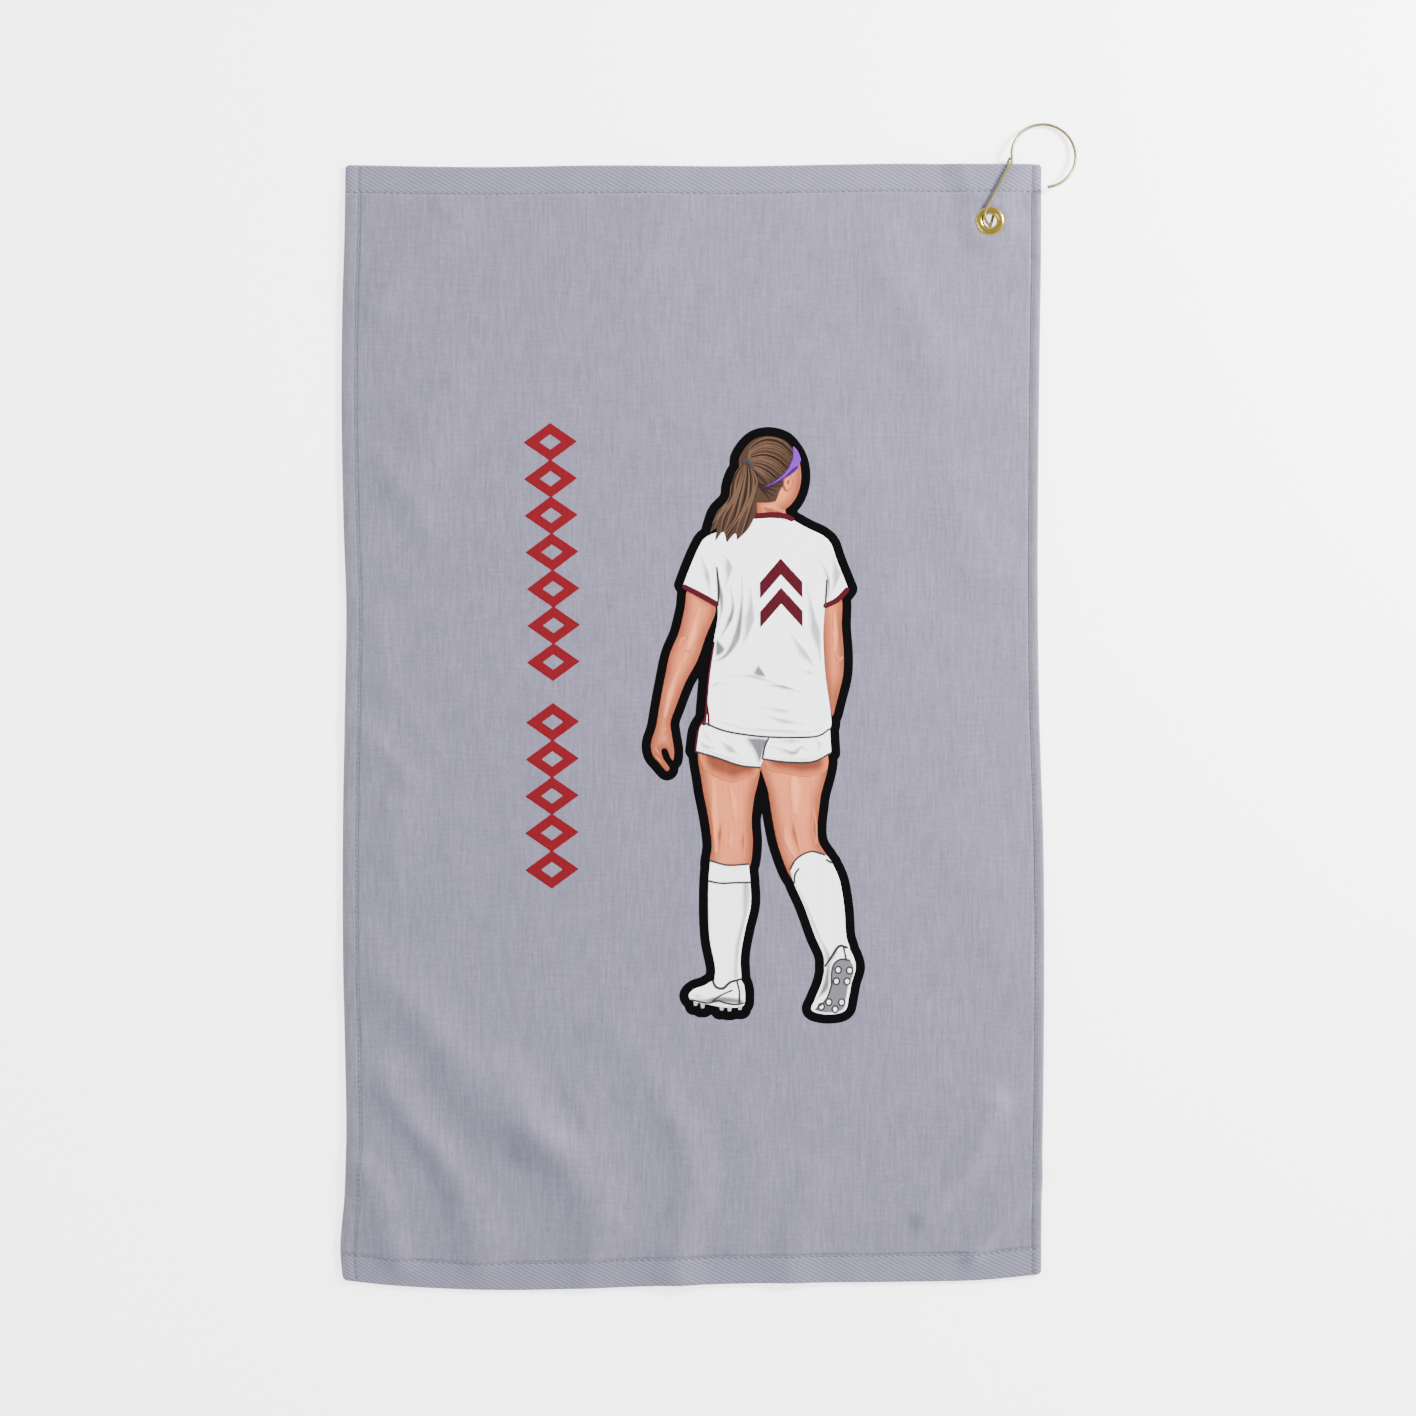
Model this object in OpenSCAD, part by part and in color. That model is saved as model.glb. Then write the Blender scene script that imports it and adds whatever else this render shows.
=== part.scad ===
// Golf towel with folded hems, a brass grommet in one corner and a sprung wire hook.
// The towel lies flat, face up. Millimetres, +Z up, +Y towards the end that has the grommet.
// The origin is the bottom centre of the box round the towel and its hook.

/* [Towel] */
// Width of the towel, across the hems
towel_w = 406; // [360:1:460]
// Length of the towel
towel_l = 653; // [560:1:700]
// Thickness of the velour cloth
cloth_t = 2.6; // [2.2:0.1:3]
// Radius of the towel's four corners
corner_r = 5; // [3:0.5:8]

/* [Hems] */
// Width of the folded twill band at each end
end_hem_w = 16.5; // [14:0.5:18]
// Thickness of the twill band
end_hem_t = 2.4; // [2.2:0.1:2.6]
// Width of the rolled hem along the left side
left_hem_w = 9; // [6:0.5:11]
// Width of the rolled hem along the right side
right_hem_w = 6; // [5:0.5:7]
// Thickness of the side hems
side_hem_t = 3.2; // [2.8:0.1:3.6]
// Distance from a hem's inner edge to its seam
seam_inset = 0.8; // [0.7:0.1:1.2]
// Width of a seam's sewing thread
thread_w = 0.7; // [0.5:0.1:0.8]

/* [Grommet] */
// Distance from the grommet's centre to the side of the towel
grommet_in_x = 30; // [29.5:0.5:34]
// Distance from the grommet's centre to the end of the towel
grommet_in_y = 33.3; // [32.8:0.1:33.5]
// Radius of the eyelet's flange
flange_r = 8.4; // [8:0.1:9]
// Radius of the hole through the eyelet
throat_r = 3.7; // [3.6:0.1:4]
// Thickness of the eyelet's brass
brass_t = 0.5; // [0.4:0.05:0.6]
// Height of the cloth's underside where it lies over the hook
corner_lift = 2.9; // [2.8:0.1:3.2]

/* [Hook] */
// Diameter of the hook's wire
wire_d = 1.8; // [1.6:0.1:1.8]
// Radius of the open ring, to the middle of the wire
ring_r = 18.7; // [18:0.1:19]
// Drop of the ring for each millimetre past its neck
ring_slope = 0.19; // [0.1:0.01:0.19]

/* [Prints] */
// Thickness of the printed transfer film
film_t = 0.15; // [0.1:0.05:0.25]
// Width of the printed diamond bands
band_w = 30; // [24:1:34]
// Pitch of the diamonds along a band
diamond_pitch = 21; // [16:0.5:22]

/* [Hidden] */
$fn = 64;

cloth_grey = [0.66, 0.66, 0.71];
twill_grey = [0.64, 0.64, 0.70];
thread_grey = [0.50, 0.50, 0.54];
brass = [0.80, 0.66, 0.30];
pale_brass = [0.78, 0.74, 0.55];
print_black = [0.03, 0.03, 0.03];
print_red = [0.64, 0.15, 0.17];

// The ring's centre, from the grommet's centre.
ring_at = [31, 37.8];
wire_r = wire_d / 2;
// How far the hook stands past the towel's side and end.
hook_past_x = ring_at[0] + ring_r + wire_r - grommet_in_x;
hook_past_y = ring_at[1] + ring_r + wire_r - grommet_in_y;
towel_at = [-hook_past_x / 2, -hook_past_y / 2];
grommet_at = [towel_at[0] + towel_w / 2 - grommet_in_x, towel_at[1] + towel_l / 2 - grommet_in_y];
// The towel's sides and ends, and the velour field between the hems.
left_x = towel_at[0] - towel_w / 2;
right_x = towel_at[0] + towel_w / 2;
top_y = towel_at[1] + towel_l / 2;
bottom_y = towel_at[1] - towel_l / 2;
field_top = top_y - end_hem_w;
field_bottom = bottom_y + end_hem_w;
field_l = field_top - field_bottom;

// The raised pad of cloth over the hook, from the grommet's centre.
pad_half = 18;
pad_run = 4.4;
pad_back = 11;
pad_wall = 1.4;

// Heights through the grommet.
washer_z = 2.6;
washer_t = 0.7;
clamp_low = washer_z + washer_t;
clamp_high = 5.2;
crest_z = 6.4;
washer_r = 7.8;
barrel_r = throat_r + brass_t;

thread_t = 0.4;

// ---------- shared shapes ----------

// A rectangle with round corners, centred, made of squares and circles.
module rounded_rect(w, l, r) {
    square([w - 2 * r, l], center = true);
    square([w, l - 2 * r], center = true);
    for (sx = [-1, 1], sy = [-1, 1])
        translate([sx * (w / 2 - r), sy * (l / 2 - r)]) circle(r);
}

// Section across the towel that rises over the hook: low and high are its heights away from the pad.
module hat_section(low, high) {
    gx = grommet_at[0];
    inner = pad_half - pad_wall;
    polygon([
        [left_x, low], [gx - inner - pad_run, low], [gx - inner, low + corner_lift],
        [gx + inner, low + corner_lift], [gx + inner + pad_run, low], [right_x, low],
        [right_x, high], [gx + pad_half + pad_run, high], [gx + pad_half, high + corner_lift],
        [gx - pad_half, high + corner_lift], [gx - pad_half - pad_run, high], [left_x, high]
    ]);
}

// The section above, w wide along Y and centred on y.
module hat_bar(y, w, low, high) {
    translate([0, y + w / 2, 0]) rotate([90, 0, 0]) linear_extrude(w) hat_section(low, high);
}

// A block with sloping sides round the grommet, up to the end of the velour field.
module pad_block(half, back, base) {
    gx = grommet_at[0];
    back_y = grommet_at[1] - back;
    intersection() {
        translate([0, field_top, 0]) rotate([90, 0, 0]) linear_extrude(field_l / 2)
            polygon([[gx - half - pad_run, base], [gx + half + pad_run, base],
                     [gx + half, base + corner_lift], [gx - half, base + corner_lift]]);
        translate([gx - 2 * half, 0, 0]) rotate([90, 0, 90]) linear_extrude(4 * half)
            polygon([[back_y - pad_run, base], [top_y, base],
                     [top_y, base + corner_lift], [back_y, base + corner_lift]]);
    }
}

// ---------- cloth ----------

// The velour field between the hems, raised over the hook in one corner.
module towel_body() {
    color(cloth_grey) difference() {
        union() {
            translate([left_x + left_hem_w, field_bottom, 0])
                cube([towel_w - left_hem_w - right_hem_w, field_l, cloth_t]);
            pad_block(pad_half, pad_back, cloth_t);
        }
        pad_block(pad_half - pad_wall, pad_back - pad_wall, 0);
        translate([grommet_at[0], grommet_at[1], 0]) {
            cylinder(h = 10, r = barrel_r);
            cylinder(h = clamp_low, r = washer_r);
            translate([0, 0, clamp_high]) cylinder(h = 5, r = flange_r);
        }
    }
}

// Footprint of one end band, with the towel's round corners on its outer side.
module end_band_foot(y) {
    intersection() {
        translate(towel_at) rounded_rect(towel_w, towel_l, corner_r);
        translate([left_x, y]) square([towel_w, end_hem_w]);
    }
}

// Top band: follows the pad, with a groove for each thread.
module top_hem() {
    color(twill_grey) difference() {
        intersection() {
            hat_bar(top_y - end_hem_w / 2, end_hem_w, 0, end_hem_t);
            linear_extrude(20) end_band_foot(field_top);
        }
        hat_bar(field_top + seam_inset, thread_w, end_hem_t - thread_t, end_hem_t + 1);
        hat_bar(field_top + seam_inset, thread_w, -1, thread_t);
    }
}

// Bottom band: flat, with a groove for each thread.
module bottom_hem() {
    color(twill_grey) difference() {
        linear_extrude(end_hem_t) end_band_foot(bottom_y);
        for (z = [-1, end_hem_t - thread_t])
            translate([left_x - 1, field_bottom - seam_inset - thread_w / 2, z])
                cube([towel_w + 2, thread_w, 1 + thread_t]);
    }
}

// A side hem between the end bands, from x on, with its seam at seam_x.
module side_hem(x, w, seam_x) {
    color(cloth_grey) difference() {
        translate([x, field_bottom, 0]) cube([w, field_l, side_hem_t]);
        for (z = [-1, side_hem_t - thread_t])
            translate([seam_x - thread_w / 2, field_bottom - 1, z]) cube([thread_w, field_l + 2, 1 + thread_t]);
    }
}

left_seam_x = left_x + left_hem_w - seam_inset;
right_seam_x = right_x - right_hem_w + seam_inset;

module left_hem() { side_hem(left_x, left_hem_w, left_seam_x); }
module right_hem() { side_hem(right_x - right_hem_w, right_hem_w, right_seam_x); }

// ---------- seams ----------

// A thread of the top seam: low is its underside away from the pad.
module top_thread(low) {
    color(thread_grey) hat_bar(field_top + seam_inset, thread_w, low, low + thread_t);
}

module bottom_thread(low) {
    color(thread_grey)
        translate([left_x, field_bottom - seam_inset - thread_w / 2, low]) cube([towel_w, thread_w, thread_t]);
}

module side_thread(seam_x, low) {
    color(thread_grey)
        translate([seam_x - thread_w / 2, field_bottom, low]) cube([thread_w, field_l, thread_t]);
}

module top_needle_thread() { top_thread(end_hem_t - thread_t); }
module top_bobbin_thread() { top_thread(0); }
module bottom_needle_thread() { bottom_thread(end_hem_t - thread_t); }
module bottom_bobbin_thread() { bottom_thread(0); }
module left_needle_thread() { side_thread(left_seam_x, side_hem_t - thread_t); }
module left_bobbin_thread() { side_thread(left_seam_x, 0); }
module right_needle_thread() { side_thread(right_seam_x, side_hem_t - thread_t); }
module right_bobbin_thread() { side_thread(right_seam_x, 0); }

// ---------- grommet ----------

// Points along an arc, from angle a to angle b.
function arc(c, rx, ry, a, b, n) =
    [for (i = [0 : n]) let (t = a + (b - a) * i / n) [c[0] + rx * cos(t), c[1] + ry * sin(t)]];

// Eyelet: domed flange on the face, barrel through the cloth, end flared out under the washer.
module grommet_eyelet() {
    crest_r = (flange_r + throat_r) / 2;
    half_w = (flange_r - throat_r) / 2;
    flare_r = barrel_r + 1;
    color(brass) translate([grommet_at[0], grommet_at[1], 0]) rotate_extrude() polygon(concat(
        arc([crest_r, clamp_high], half_w, crest_z - clamp_high, 0, 180, 16),
        [[throat_r, washer_z - brass_t + 0.2], [throat_r + 0.2, washer_z - brass_t]],
        [[flare_r, washer_z - brass_t], [flare_r, washer_z], [barrel_r, washer_z]],
        [[barrel_r, clamp_high]]
    ));
}

// Washer on the back, held by the eyelet's flare.
module grommet_washer() {
    color(brass) translate([grommet_at[0], grommet_at[1], 0]) rotate_extrude() polygon([
        [barrel_r, washer_z], [washer_r - 0.6, washer_z], [washer_r, washer_z + 0.3],
        [washer_r, clamp_low], [barrel_r, clamp_low]
    ]);
}

// ---------- hook ----------

// The leg's direction, and how far along it the neck is: the ring drops from there.
leg_dir = [0.483, 0.876];
neck_along = 35.8;
leg_z = 7.6;
function ring_z(p) = leg_z - ring_slope * (p[0] * leg_dir[0] + p[1] * leg_dir[1] - neck_along);
function ring_point(t) = let (p = ring_at + ring_r * [cos(t), sin(t)]) [p[0], p[1], ring_z(p)];
tip_angle = -82;
neck_angle = 176;
ring_points = [for (i = [0 : 43]) ring_point(tip_angle + (neck_angle - tip_angle) * i / 43)];

// From the neck down the front leg, through the grommet, back up under the cloth and up against the neck.
// Each point is from the grommet's centre, with its height above the table.
leg_points = [
    [12.5, 35.6, 7.6], [12.1, 33.4, 7.6], [10.4, 30.2, 7.6], [4.2, 18.9, 7.6], [-1.8, 8.0, 7.6],
    [-3.2, 4.2, 7.5], [-3.1, 1.4, 7.2], [-2.0, -1.0, 6.3], [-0.5, -2.4, 5.0], [0.1, -2.7, 3.8],
    [0.2, -2.6, 2.4], [0.5, -1.9, 1.3], [1.1, 0.0, 1.05], [4.0, 10.8, 1.05], [8.2, 26.0, 1.05],
    [9.9, 32.2, 1.05], [10.7, 34.9, 1.3], [10.9, 35.6, 2.4], [11.0, 35.8, 4.0], [11.1, 36.0, 5.6]
];

// Points of a smooth curve through the given ones, with n steps between each two.
function smooth_between(a, b, c, d, t) =
    0.5 * (2 * b + (c - a) * t + (2 * a - 5 * b + 4 * c - d) * t * t + (3 * b - a - 3 * c + d) * t * t * t);
function smooth(pts, n) = let (m = len(pts)) concat(
    [for (i = [0 : m - 2], k = [0 : n - 1])
        smooth_between(pts[max(i - 1, 0)], pts[i], pts[i + 1], pts[min(i + 2, m - 1)], k / n)],
    [pts[m - 1]]);

function unit(v) = v / norm(v);
function tangents(p) = [for (i = [0 : len(p) - 1]) unit(p[min(i + 1, len(p) - 1)] - p[max(i - 1, 0)])];
// Side vectors that turn as little as they can from ring to ring.
function side_vectors(t, i = 0, n = [0, 0, 1]) =
    i >= len(t) ? [] : let (s = unit(n - (n * t[i]) * t[i])) concat([s], side_vectors(t, i + 1, s));

// A round wire swept along points.
module wire(p, r, sides) {
    t = tangents(p);
    n = side_vectors(t);
    rings = len(p);
    points = [for (i = [0 : rings - 1], k = [0 : sides - 1])
        let (b = cross(t[i], n[i]), a = 360 * k / sides) p[i] + r * (cos(a) * b + sin(a) * n[i])];
    walls = [for (i = [0 : rings - 2], k = [0 : sides - 1])
        let (k2 = (k + 1) % sides) [i * sides + k, i * sides + k2, (i + 1) * sides + k2, (i + 1) * sides + k]];
    caps = [[for (k = [sides - 1 : -1 : 0]) k], [for (k = [0 : sides - 1]) (rings - 1) * sides + k]];
    polyhedron(points, concat(walls, caps));
}

module towel_hook() {
    color(pale_brass) translate([grommet_at[0], grommet_at[1], 0])
        wire(concat(ring_points, smooth(leg_points, 3)), wire_r, 12);
}

// ---------- prints ----------

// Outline of a player seen from behind, from the towel's centre.
module player_outline() {
    translate([46, 148]) circle(24.5);
    polygon([
        // ponytail and left shoulder, down the left arm to the fingertips
        [22, 152], [18, 140], [10, 129], [8, 116], [-9.5, 81], [-6, 74], [-11, 58], [-19, 36], [-23, 12],
        [-28.5, -12], [-24, -27], [-14, -32.5], [-7, -27], [-6, -10], [-8, 0],
        // hip and left leg
        [0, 18], [-3, -4], [-3, -16], [1, -22], [6, -62], [4, -92], [4.5, -118], [9, -144],
        [-5, -151], [-7, -160], [10, -167.5], [20, -171.5], [31, -169.5], [34, -160], [31, -146],
        [38, -106], [37, -84], [40, -46],
        // right leg
        [44, -72], [70, -132], [70, -150], [63, -167], [72, -174], [88, -173], [93, -160], [98, -144],
        [92, -126], [89, -94], [76, -68], [82, -24], [86, -16],
        // right arm, shoulder and neck
        [86, -4], [92, 18], [94, 38], [92, 68], [97, 76], [86, 107], [64, 121], [69, 138]
    ]);
}

module figure_print() {
    color(print_black) translate([towel_at[0], towel_at[1], cloth_t]) linear_extrude(film_t) player_outline();
}

// A run of diamonds down from the point top: each one's tip overlaps the next.
module diamond_band(top, count) {
    overlap = 1;
    color(print_red) translate([towel_at[0], towel_at[1], cloth_t]) linear_extrude(film_t)
        for (i = [0 : count - 1])
            translate([top[0], top[1] - diamond_pitch * (i + 0.5)])
                polygon([[-band_w / 2, 0], [0, -diamond_pitch / 2 - overlap],
                         [band_w / 2, 0], [0, diamond_pitch / 2 + overlap]]);
}

module upper_band_print() { diamond_band([-81.5, 175.5], 7); }
module lower_band_print() { diamond_band([-81.5, 13], 5); }

towel_body();
top_hem();
bottom_hem();
left_hem();
right_hem();
top_needle_thread();
top_bobbin_thread();
bottom_needle_thread();
bottom_bobbin_thread();
left_needle_thread();
left_bobbin_thread();
right_needle_thread();
right_bobbin_thread();
grommet_eyelet();
grommet_washer();
towel_hook();
figure_print();
upper_band_print();
lower_band_print();
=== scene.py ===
"""A golf towel laid flat, face up: its cloth, hems, seams, grommet, hook and prints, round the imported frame.

The cloth is worked out flat and then laid down. u runs across the towel and v along it, both from its
centre, and w is the height above the cloth's underside, all in millimetres. place() lays a flat point
on the table, over its wrinkles, in metres.
"""

import math

import bpy
import numpy as np
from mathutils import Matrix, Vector


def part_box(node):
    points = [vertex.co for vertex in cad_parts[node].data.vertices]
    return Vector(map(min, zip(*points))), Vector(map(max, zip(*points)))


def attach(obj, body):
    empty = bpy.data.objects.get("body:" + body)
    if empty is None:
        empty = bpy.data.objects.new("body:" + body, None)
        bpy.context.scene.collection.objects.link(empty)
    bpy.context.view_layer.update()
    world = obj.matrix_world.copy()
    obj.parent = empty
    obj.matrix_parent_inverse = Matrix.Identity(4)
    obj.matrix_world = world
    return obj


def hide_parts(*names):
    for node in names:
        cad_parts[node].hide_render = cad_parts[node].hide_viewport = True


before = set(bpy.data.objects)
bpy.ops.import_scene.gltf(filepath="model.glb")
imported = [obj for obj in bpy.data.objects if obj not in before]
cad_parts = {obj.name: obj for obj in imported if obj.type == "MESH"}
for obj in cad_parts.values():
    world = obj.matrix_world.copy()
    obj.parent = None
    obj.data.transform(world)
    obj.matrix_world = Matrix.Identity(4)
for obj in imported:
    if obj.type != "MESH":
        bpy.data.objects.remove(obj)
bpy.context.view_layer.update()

MM = 0.001
RNG = np.random.default_rng(26)


# ---------------------------------------------------------------- sizes, from the frame


def node_box(node):
    lo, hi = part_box(node)
    return np.array(lo) / MM, np.array(hi) / MM


def middle(node):
    lo, hi = node_box(node)
    return (lo + hi) / 2


bottom_lo, bottom_hi = node_box("bottom_hem")
top_lo, top_hi = node_box("top_hem")
CENTRE = np.array([(bottom_lo[0] + bottom_hi[0]) / 2, (bottom_lo[1] + top_hi[1]) / 2])
HALF_W = (bottom_hi[0] - bottom_lo[0]) / 2
HALF_L = (top_hi[1] - bottom_lo[1]) / 2
END_BAND = top_hi[1] - top_lo[1]
LEFT_HEM = np.ptp(np.array(node_box("left_hem"))[:, 0])
RIGHT_HEM = np.ptp(np.array(node_box("right_hem"))[:, 0])
FIELD_V = HALF_L - END_BAND
FIELD_U = (-HALF_W + LEFT_HEM, HALF_W - RIGHT_HEM)
SEAM_END = HALF_L - (middle("top_needle_thread")[1] - CENTRE[1])
SEAM_LEFT = middle("left_needle_thread")[0] - CENTRE[0] + HALF_W
SEAM_RIGHT = HALF_W - (middle("right_needle_thread")[0] - CENTRE[0])
CORNER_R = 2.6

eyelet_lo, eyelet_hi = node_box("grommet_eyelet")
washer_lo, washer_hi = node_box("grommet_washer")
GROMMET = (eyelet_lo + eyelet_hi)[:2] / 2
GROMMET_UV = GROMMET - CENTRE
FLANGE_R = (eyelet_hi[0] - eyelet_lo[0]) / 2
WASHER_R = (washer_hi[0] - washer_lo[0]) / 2
THROAT_R = 3.7
BRASS_T = 0.5
FLANGE_Z, CREST_Z = 5.2, eyelet_hi[2]
BARREL_Z = eyelet_lo[2]

CLOTH_T = 2.6
BAND_T = 2.3
CORNER_LIFT = 2.9
STITCH = {"end": 3.6, "side": 3.0}


def smooth01(t):
    """0 below 0, 1 above 1 and a smooth step between."""
    t = np.clip(t, 0, 1)
    return t * t * (3 - 2 * t)


def from_grommet(u, v):
    """Distance from the grommet's centre."""
    return np.hypot(u - GROMMET_UV[0], v - GROMMET_UV[1])


# ---------------------------------------------------------------- how the cloth lies

# Low ridges of the cloth: start, end, height and half-width.
RIDGES = [
    ((-178, -208), (-118, -300), 5.4, 12),
    ((-170, -150), (-96, -236), 5.0, 17),
    ((-96, -236), (-50, -300), 4.9, 13),
    ((-200, -262), (-166, -312), 4.4, 9),
    ((-112, -196), (-78, -246), 3.2, 12),
    ((-8, -236), (-6, -322), 4.2, 12),
    ((-46, -180), (-22, -214), 2.0, 14),
    ((58, -262), (60, -322), 2.7, 12),
    ((176, -226), (132, -290), 4.8, 8),
    ((198, -262), (166, -312), 4.4, 7),
    ((-132, 204), (-176, 138), 3.1, 13),
    ((-144, 300), (-178, 244), 3.1, 13),
    ((-172, -52), (-178, -96), 2.4, 12),
    ((112, 276), (150, 196), 2.1, 16),
    ((142, 140), (176, 84), 1.7, 16),
    ((150, -70), (190, -150), 1.4, 18),
    ((-60, 262), (-20, 300), 1.1, 22),
    ((-186, 60), (-170, 20), 1.8, 9),
    ((-192, -4), (-168, -34), 1.9, 9),
    ((-184, 150), (-160, 118), 1.6, 10),
    ((-140, -60), (-150, -130), 1.1, 17),
    ((-64, -214), (-58, -322), 1.9, 11),
    ((26, -230), (30, -300), 1.6, 13),
    ((-20, 200), (-24, 300), 0.9, 16),
    ((92, 150), (120, 60), 1.0, 18),
]

# How far the outline strays outwards: place along the side, then millimetres.
STRAY_LEFT = [(-327, 0.5), (-312, 2.0), (-276, -0.4), (-242, -1.4), (-200, -0.8), (-140, 0.5), (-60, 0.6),
              (20, -0.8), (70, -1.4), (110, 0.0), (195, 1.4), (245, 0.9), (290, -0.4), (327, -0.9)]
STRAY_RIGHT = [(-327, 0.0), (-280, 0.3), (-240, 1.0), (-170, 1.7), (-70, 1.2), (0, -1.0), (90, -2.0),
               (175, -1.4), (250, -0.5), (327, 0.3)]
STRAY_TOP = [(-203, -0.2), (-120, -1.4), (-60, -0.5), (30, -0.9), (80, 0.0), (120, 0.6), (203, 0.0)]
STRAY_BOTTOM = [(-203, -3.6), (-180, -1.0), (-155, 0.8), (-130, 1.9), (-100, 2.2), (-60, 1.2), (0, -0.9),
                (50, -2.0), (120, -2.6), (170, -3.8), (203, -7.0)]


def stray(table, t):
    """A smooth curve through the table's points."""
    at, out = np.array(table, float).T
    slope = np.gradient(out, at)
    i = np.clip(np.searchsorted(at, t) - 1, 0, len(at) - 2)
    h = at[i + 1] - at[i]
    s = np.clip((t - at[i]) / h, 0, 1)
    return (out[i] * (1 + 2 * s) * (1 - s) ** 2 + out[i + 1] * s * s * (3 - 2 * s)
            + h * slope[i] * s * (1 - s) ** 2 - h * slope[i + 1] * s * s * (1 - s))


# The raised corner covers this much either side of the towel's length, then a margin and a slope.
PAD_SPREAD, PAD_MARGIN, PAD_SLOPE = math.radians(24), 1.5, 15


def hook_pad(u, v):
    """The cloth raised over the hook's back leg and the washer, 0 to 1."""
    r = from_grommet(u, v)
    past = np.abs(np.arctan2(u - GROMMET_UV[0], v - GROMMET_UV[1])) - PAD_SPREAD
    leg = np.where(past < 0, 0, np.where(past < math.pi / 2, r * np.sin(np.clip(past, 0, math.pi / 2)), r))
    away = np.minimum(leg, np.maximum(r - WASHER_R, 0))
    return 1 - smooth01((away - PAD_MARGIN) / PAD_SLOPE)


def lift(u, v):
    """Height of the cloth's underside over the table."""
    bend_u = u + 5 * np.sin(v / 31 + 0.6) + 3 * np.sin(v / 13)
    bend_v = v + 4 * np.sin(u / 27) + 2 * np.sin(u / 11 + 1)
    high = 0.25 + 0.25 * (np.sin(u / 47 + 1.3 * np.sin(v / 83)) * np.sin(v / 61 + 0.4))
    for (u0, v0), (u1, v1), height, half in RIDGES:
        along = np.clip(((bend_u - u0) * (u1 - u0) + (bend_v - v0) * (v1 - v0))
                        / ((u1 - u0) ** 2 + (v1 - v0) ** 2), 0, 1)
        away = np.hypot(bend_u - u0 - along * (u1 - u0), bend_v - v0 - along * (v1 - v0))
        high = high + height * np.exp(-((away / half) ** 2))
    clear = smooth01((from_grommet(u, v) - 26) / 50)  # no wrinkles at the grommet
    return high * clear + CORNER_LIFT * hook_pad(u, v)


def place(u, v, w):
    """Flat cloth points laid on the table, in metres."""
    u, v, w = np.broadcast_arrays(np.asarray(u, float), v, w)
    # Square corners become round.
    a = np.clip((np.abs(u) - HALF_W + CORNER_R) / CORNER_R, 0, None)
    b = np.clip((np.abs(v) - HALF_L + CORNER_R) / CORNER_R, 0, None)
    round_u = np.sign(u) * CORNER_R * a * (np.sqrt(np.clip(1 - b * b / 2, 0, 1)) - 1)
    round_v = np.sign(v) * CORNER_R * b * (np.sqrt(np.clip(1 - a * a / 2, 0, 1)) - 1)
    right, top = smooth01(u / (2 * HALF_W) + 0.5), smooth01(v / (2 * HALF_L) + 0.5)
    steady = smooth01((from_grommet(u, v) - 22) / 40)  # the outline keeps its place at the grommet
    x = u + round_u + steady * (right * stray(STRAY_RIGHT, v) - (1 - right) * stray(STRAY_LEFT, v))
    y = v + round_v + steady * (top * stray(STRAY_TOP, u) - (1 - top) * stray(STRAY_BOTTOM, u))
    return np.stack([x + CENTRE[0], y + CENTRE[1], lift(u, v) + w], -1) * MM


# ---------------------------------------------------------------- the cloth's two surfaces

RIM, RIM_MIDDLE = 1.5, 1.15  # the rolled edge's radius and the height of its middle
RIB_PITCH, RIB_TILT, RIB_HEIGHT = 2.0, math.radians(29), 0.17
HEM_ROLL = 0.5  # how far the side hems stand up over the field
FACE_SEAM, BACK_SEAM = (0.24, 0.4), (0.25, 0.3)  # depths of a seam's groove and of its pits


def stitch_row(away, along, pitch, groove, pit):
    """A seam's dent in the cloth: a groove with a pit at each needle hole."""
    to_hole = (along / pitch + 0.5) % 1 - 0.5
    return (groove * np.exp(-((away / 0.9) ** 2))
            + pit * np.exp(-((away / 0.7) ** 2) - ((to_hole * pitch / 0.6) ** 2)))


def seams(u, v, groove, pit):
    """All four seams' dents. Each seam runs on to the towel's edges."""
    return (stitch_row(HALF_L - np.abs(v) - SEAM_END, u, STITCH["end"], groove, pit)
            + stitch_row(HALF_W + u - SEAM_LEFT, v, STITCH["side"], groove, pit)
            + stitch_row(HALF_W - u - SEAM_RIGHT, v, STITCH["side"], groove, pit))


def rim(u, v):
    """1 inside the towel, falling to nearly 0 round its edge like a folded roll."""
    edge = np.minimum(HALF_W - np.abs(u), HALF_L - np.abs(v))
    return np.sqrt(np.clip(1 - np.clip(1 - edge / RIM, 0, 0.995) ** 2, 0, 1))


def rib(u, v):
    """The end bands' diagonal ribs: 1 along each rib's crest and 0 between two ribs."""
    across = u * math.sin(RIB_TILT) + v * math.cos(RIB_TILT) + 0.12 * np.sin(u / 3.1) * np.sin(v / 2.3)
    return np.abs(np.sin(math.pi * across / RIB_PITCH))


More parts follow.
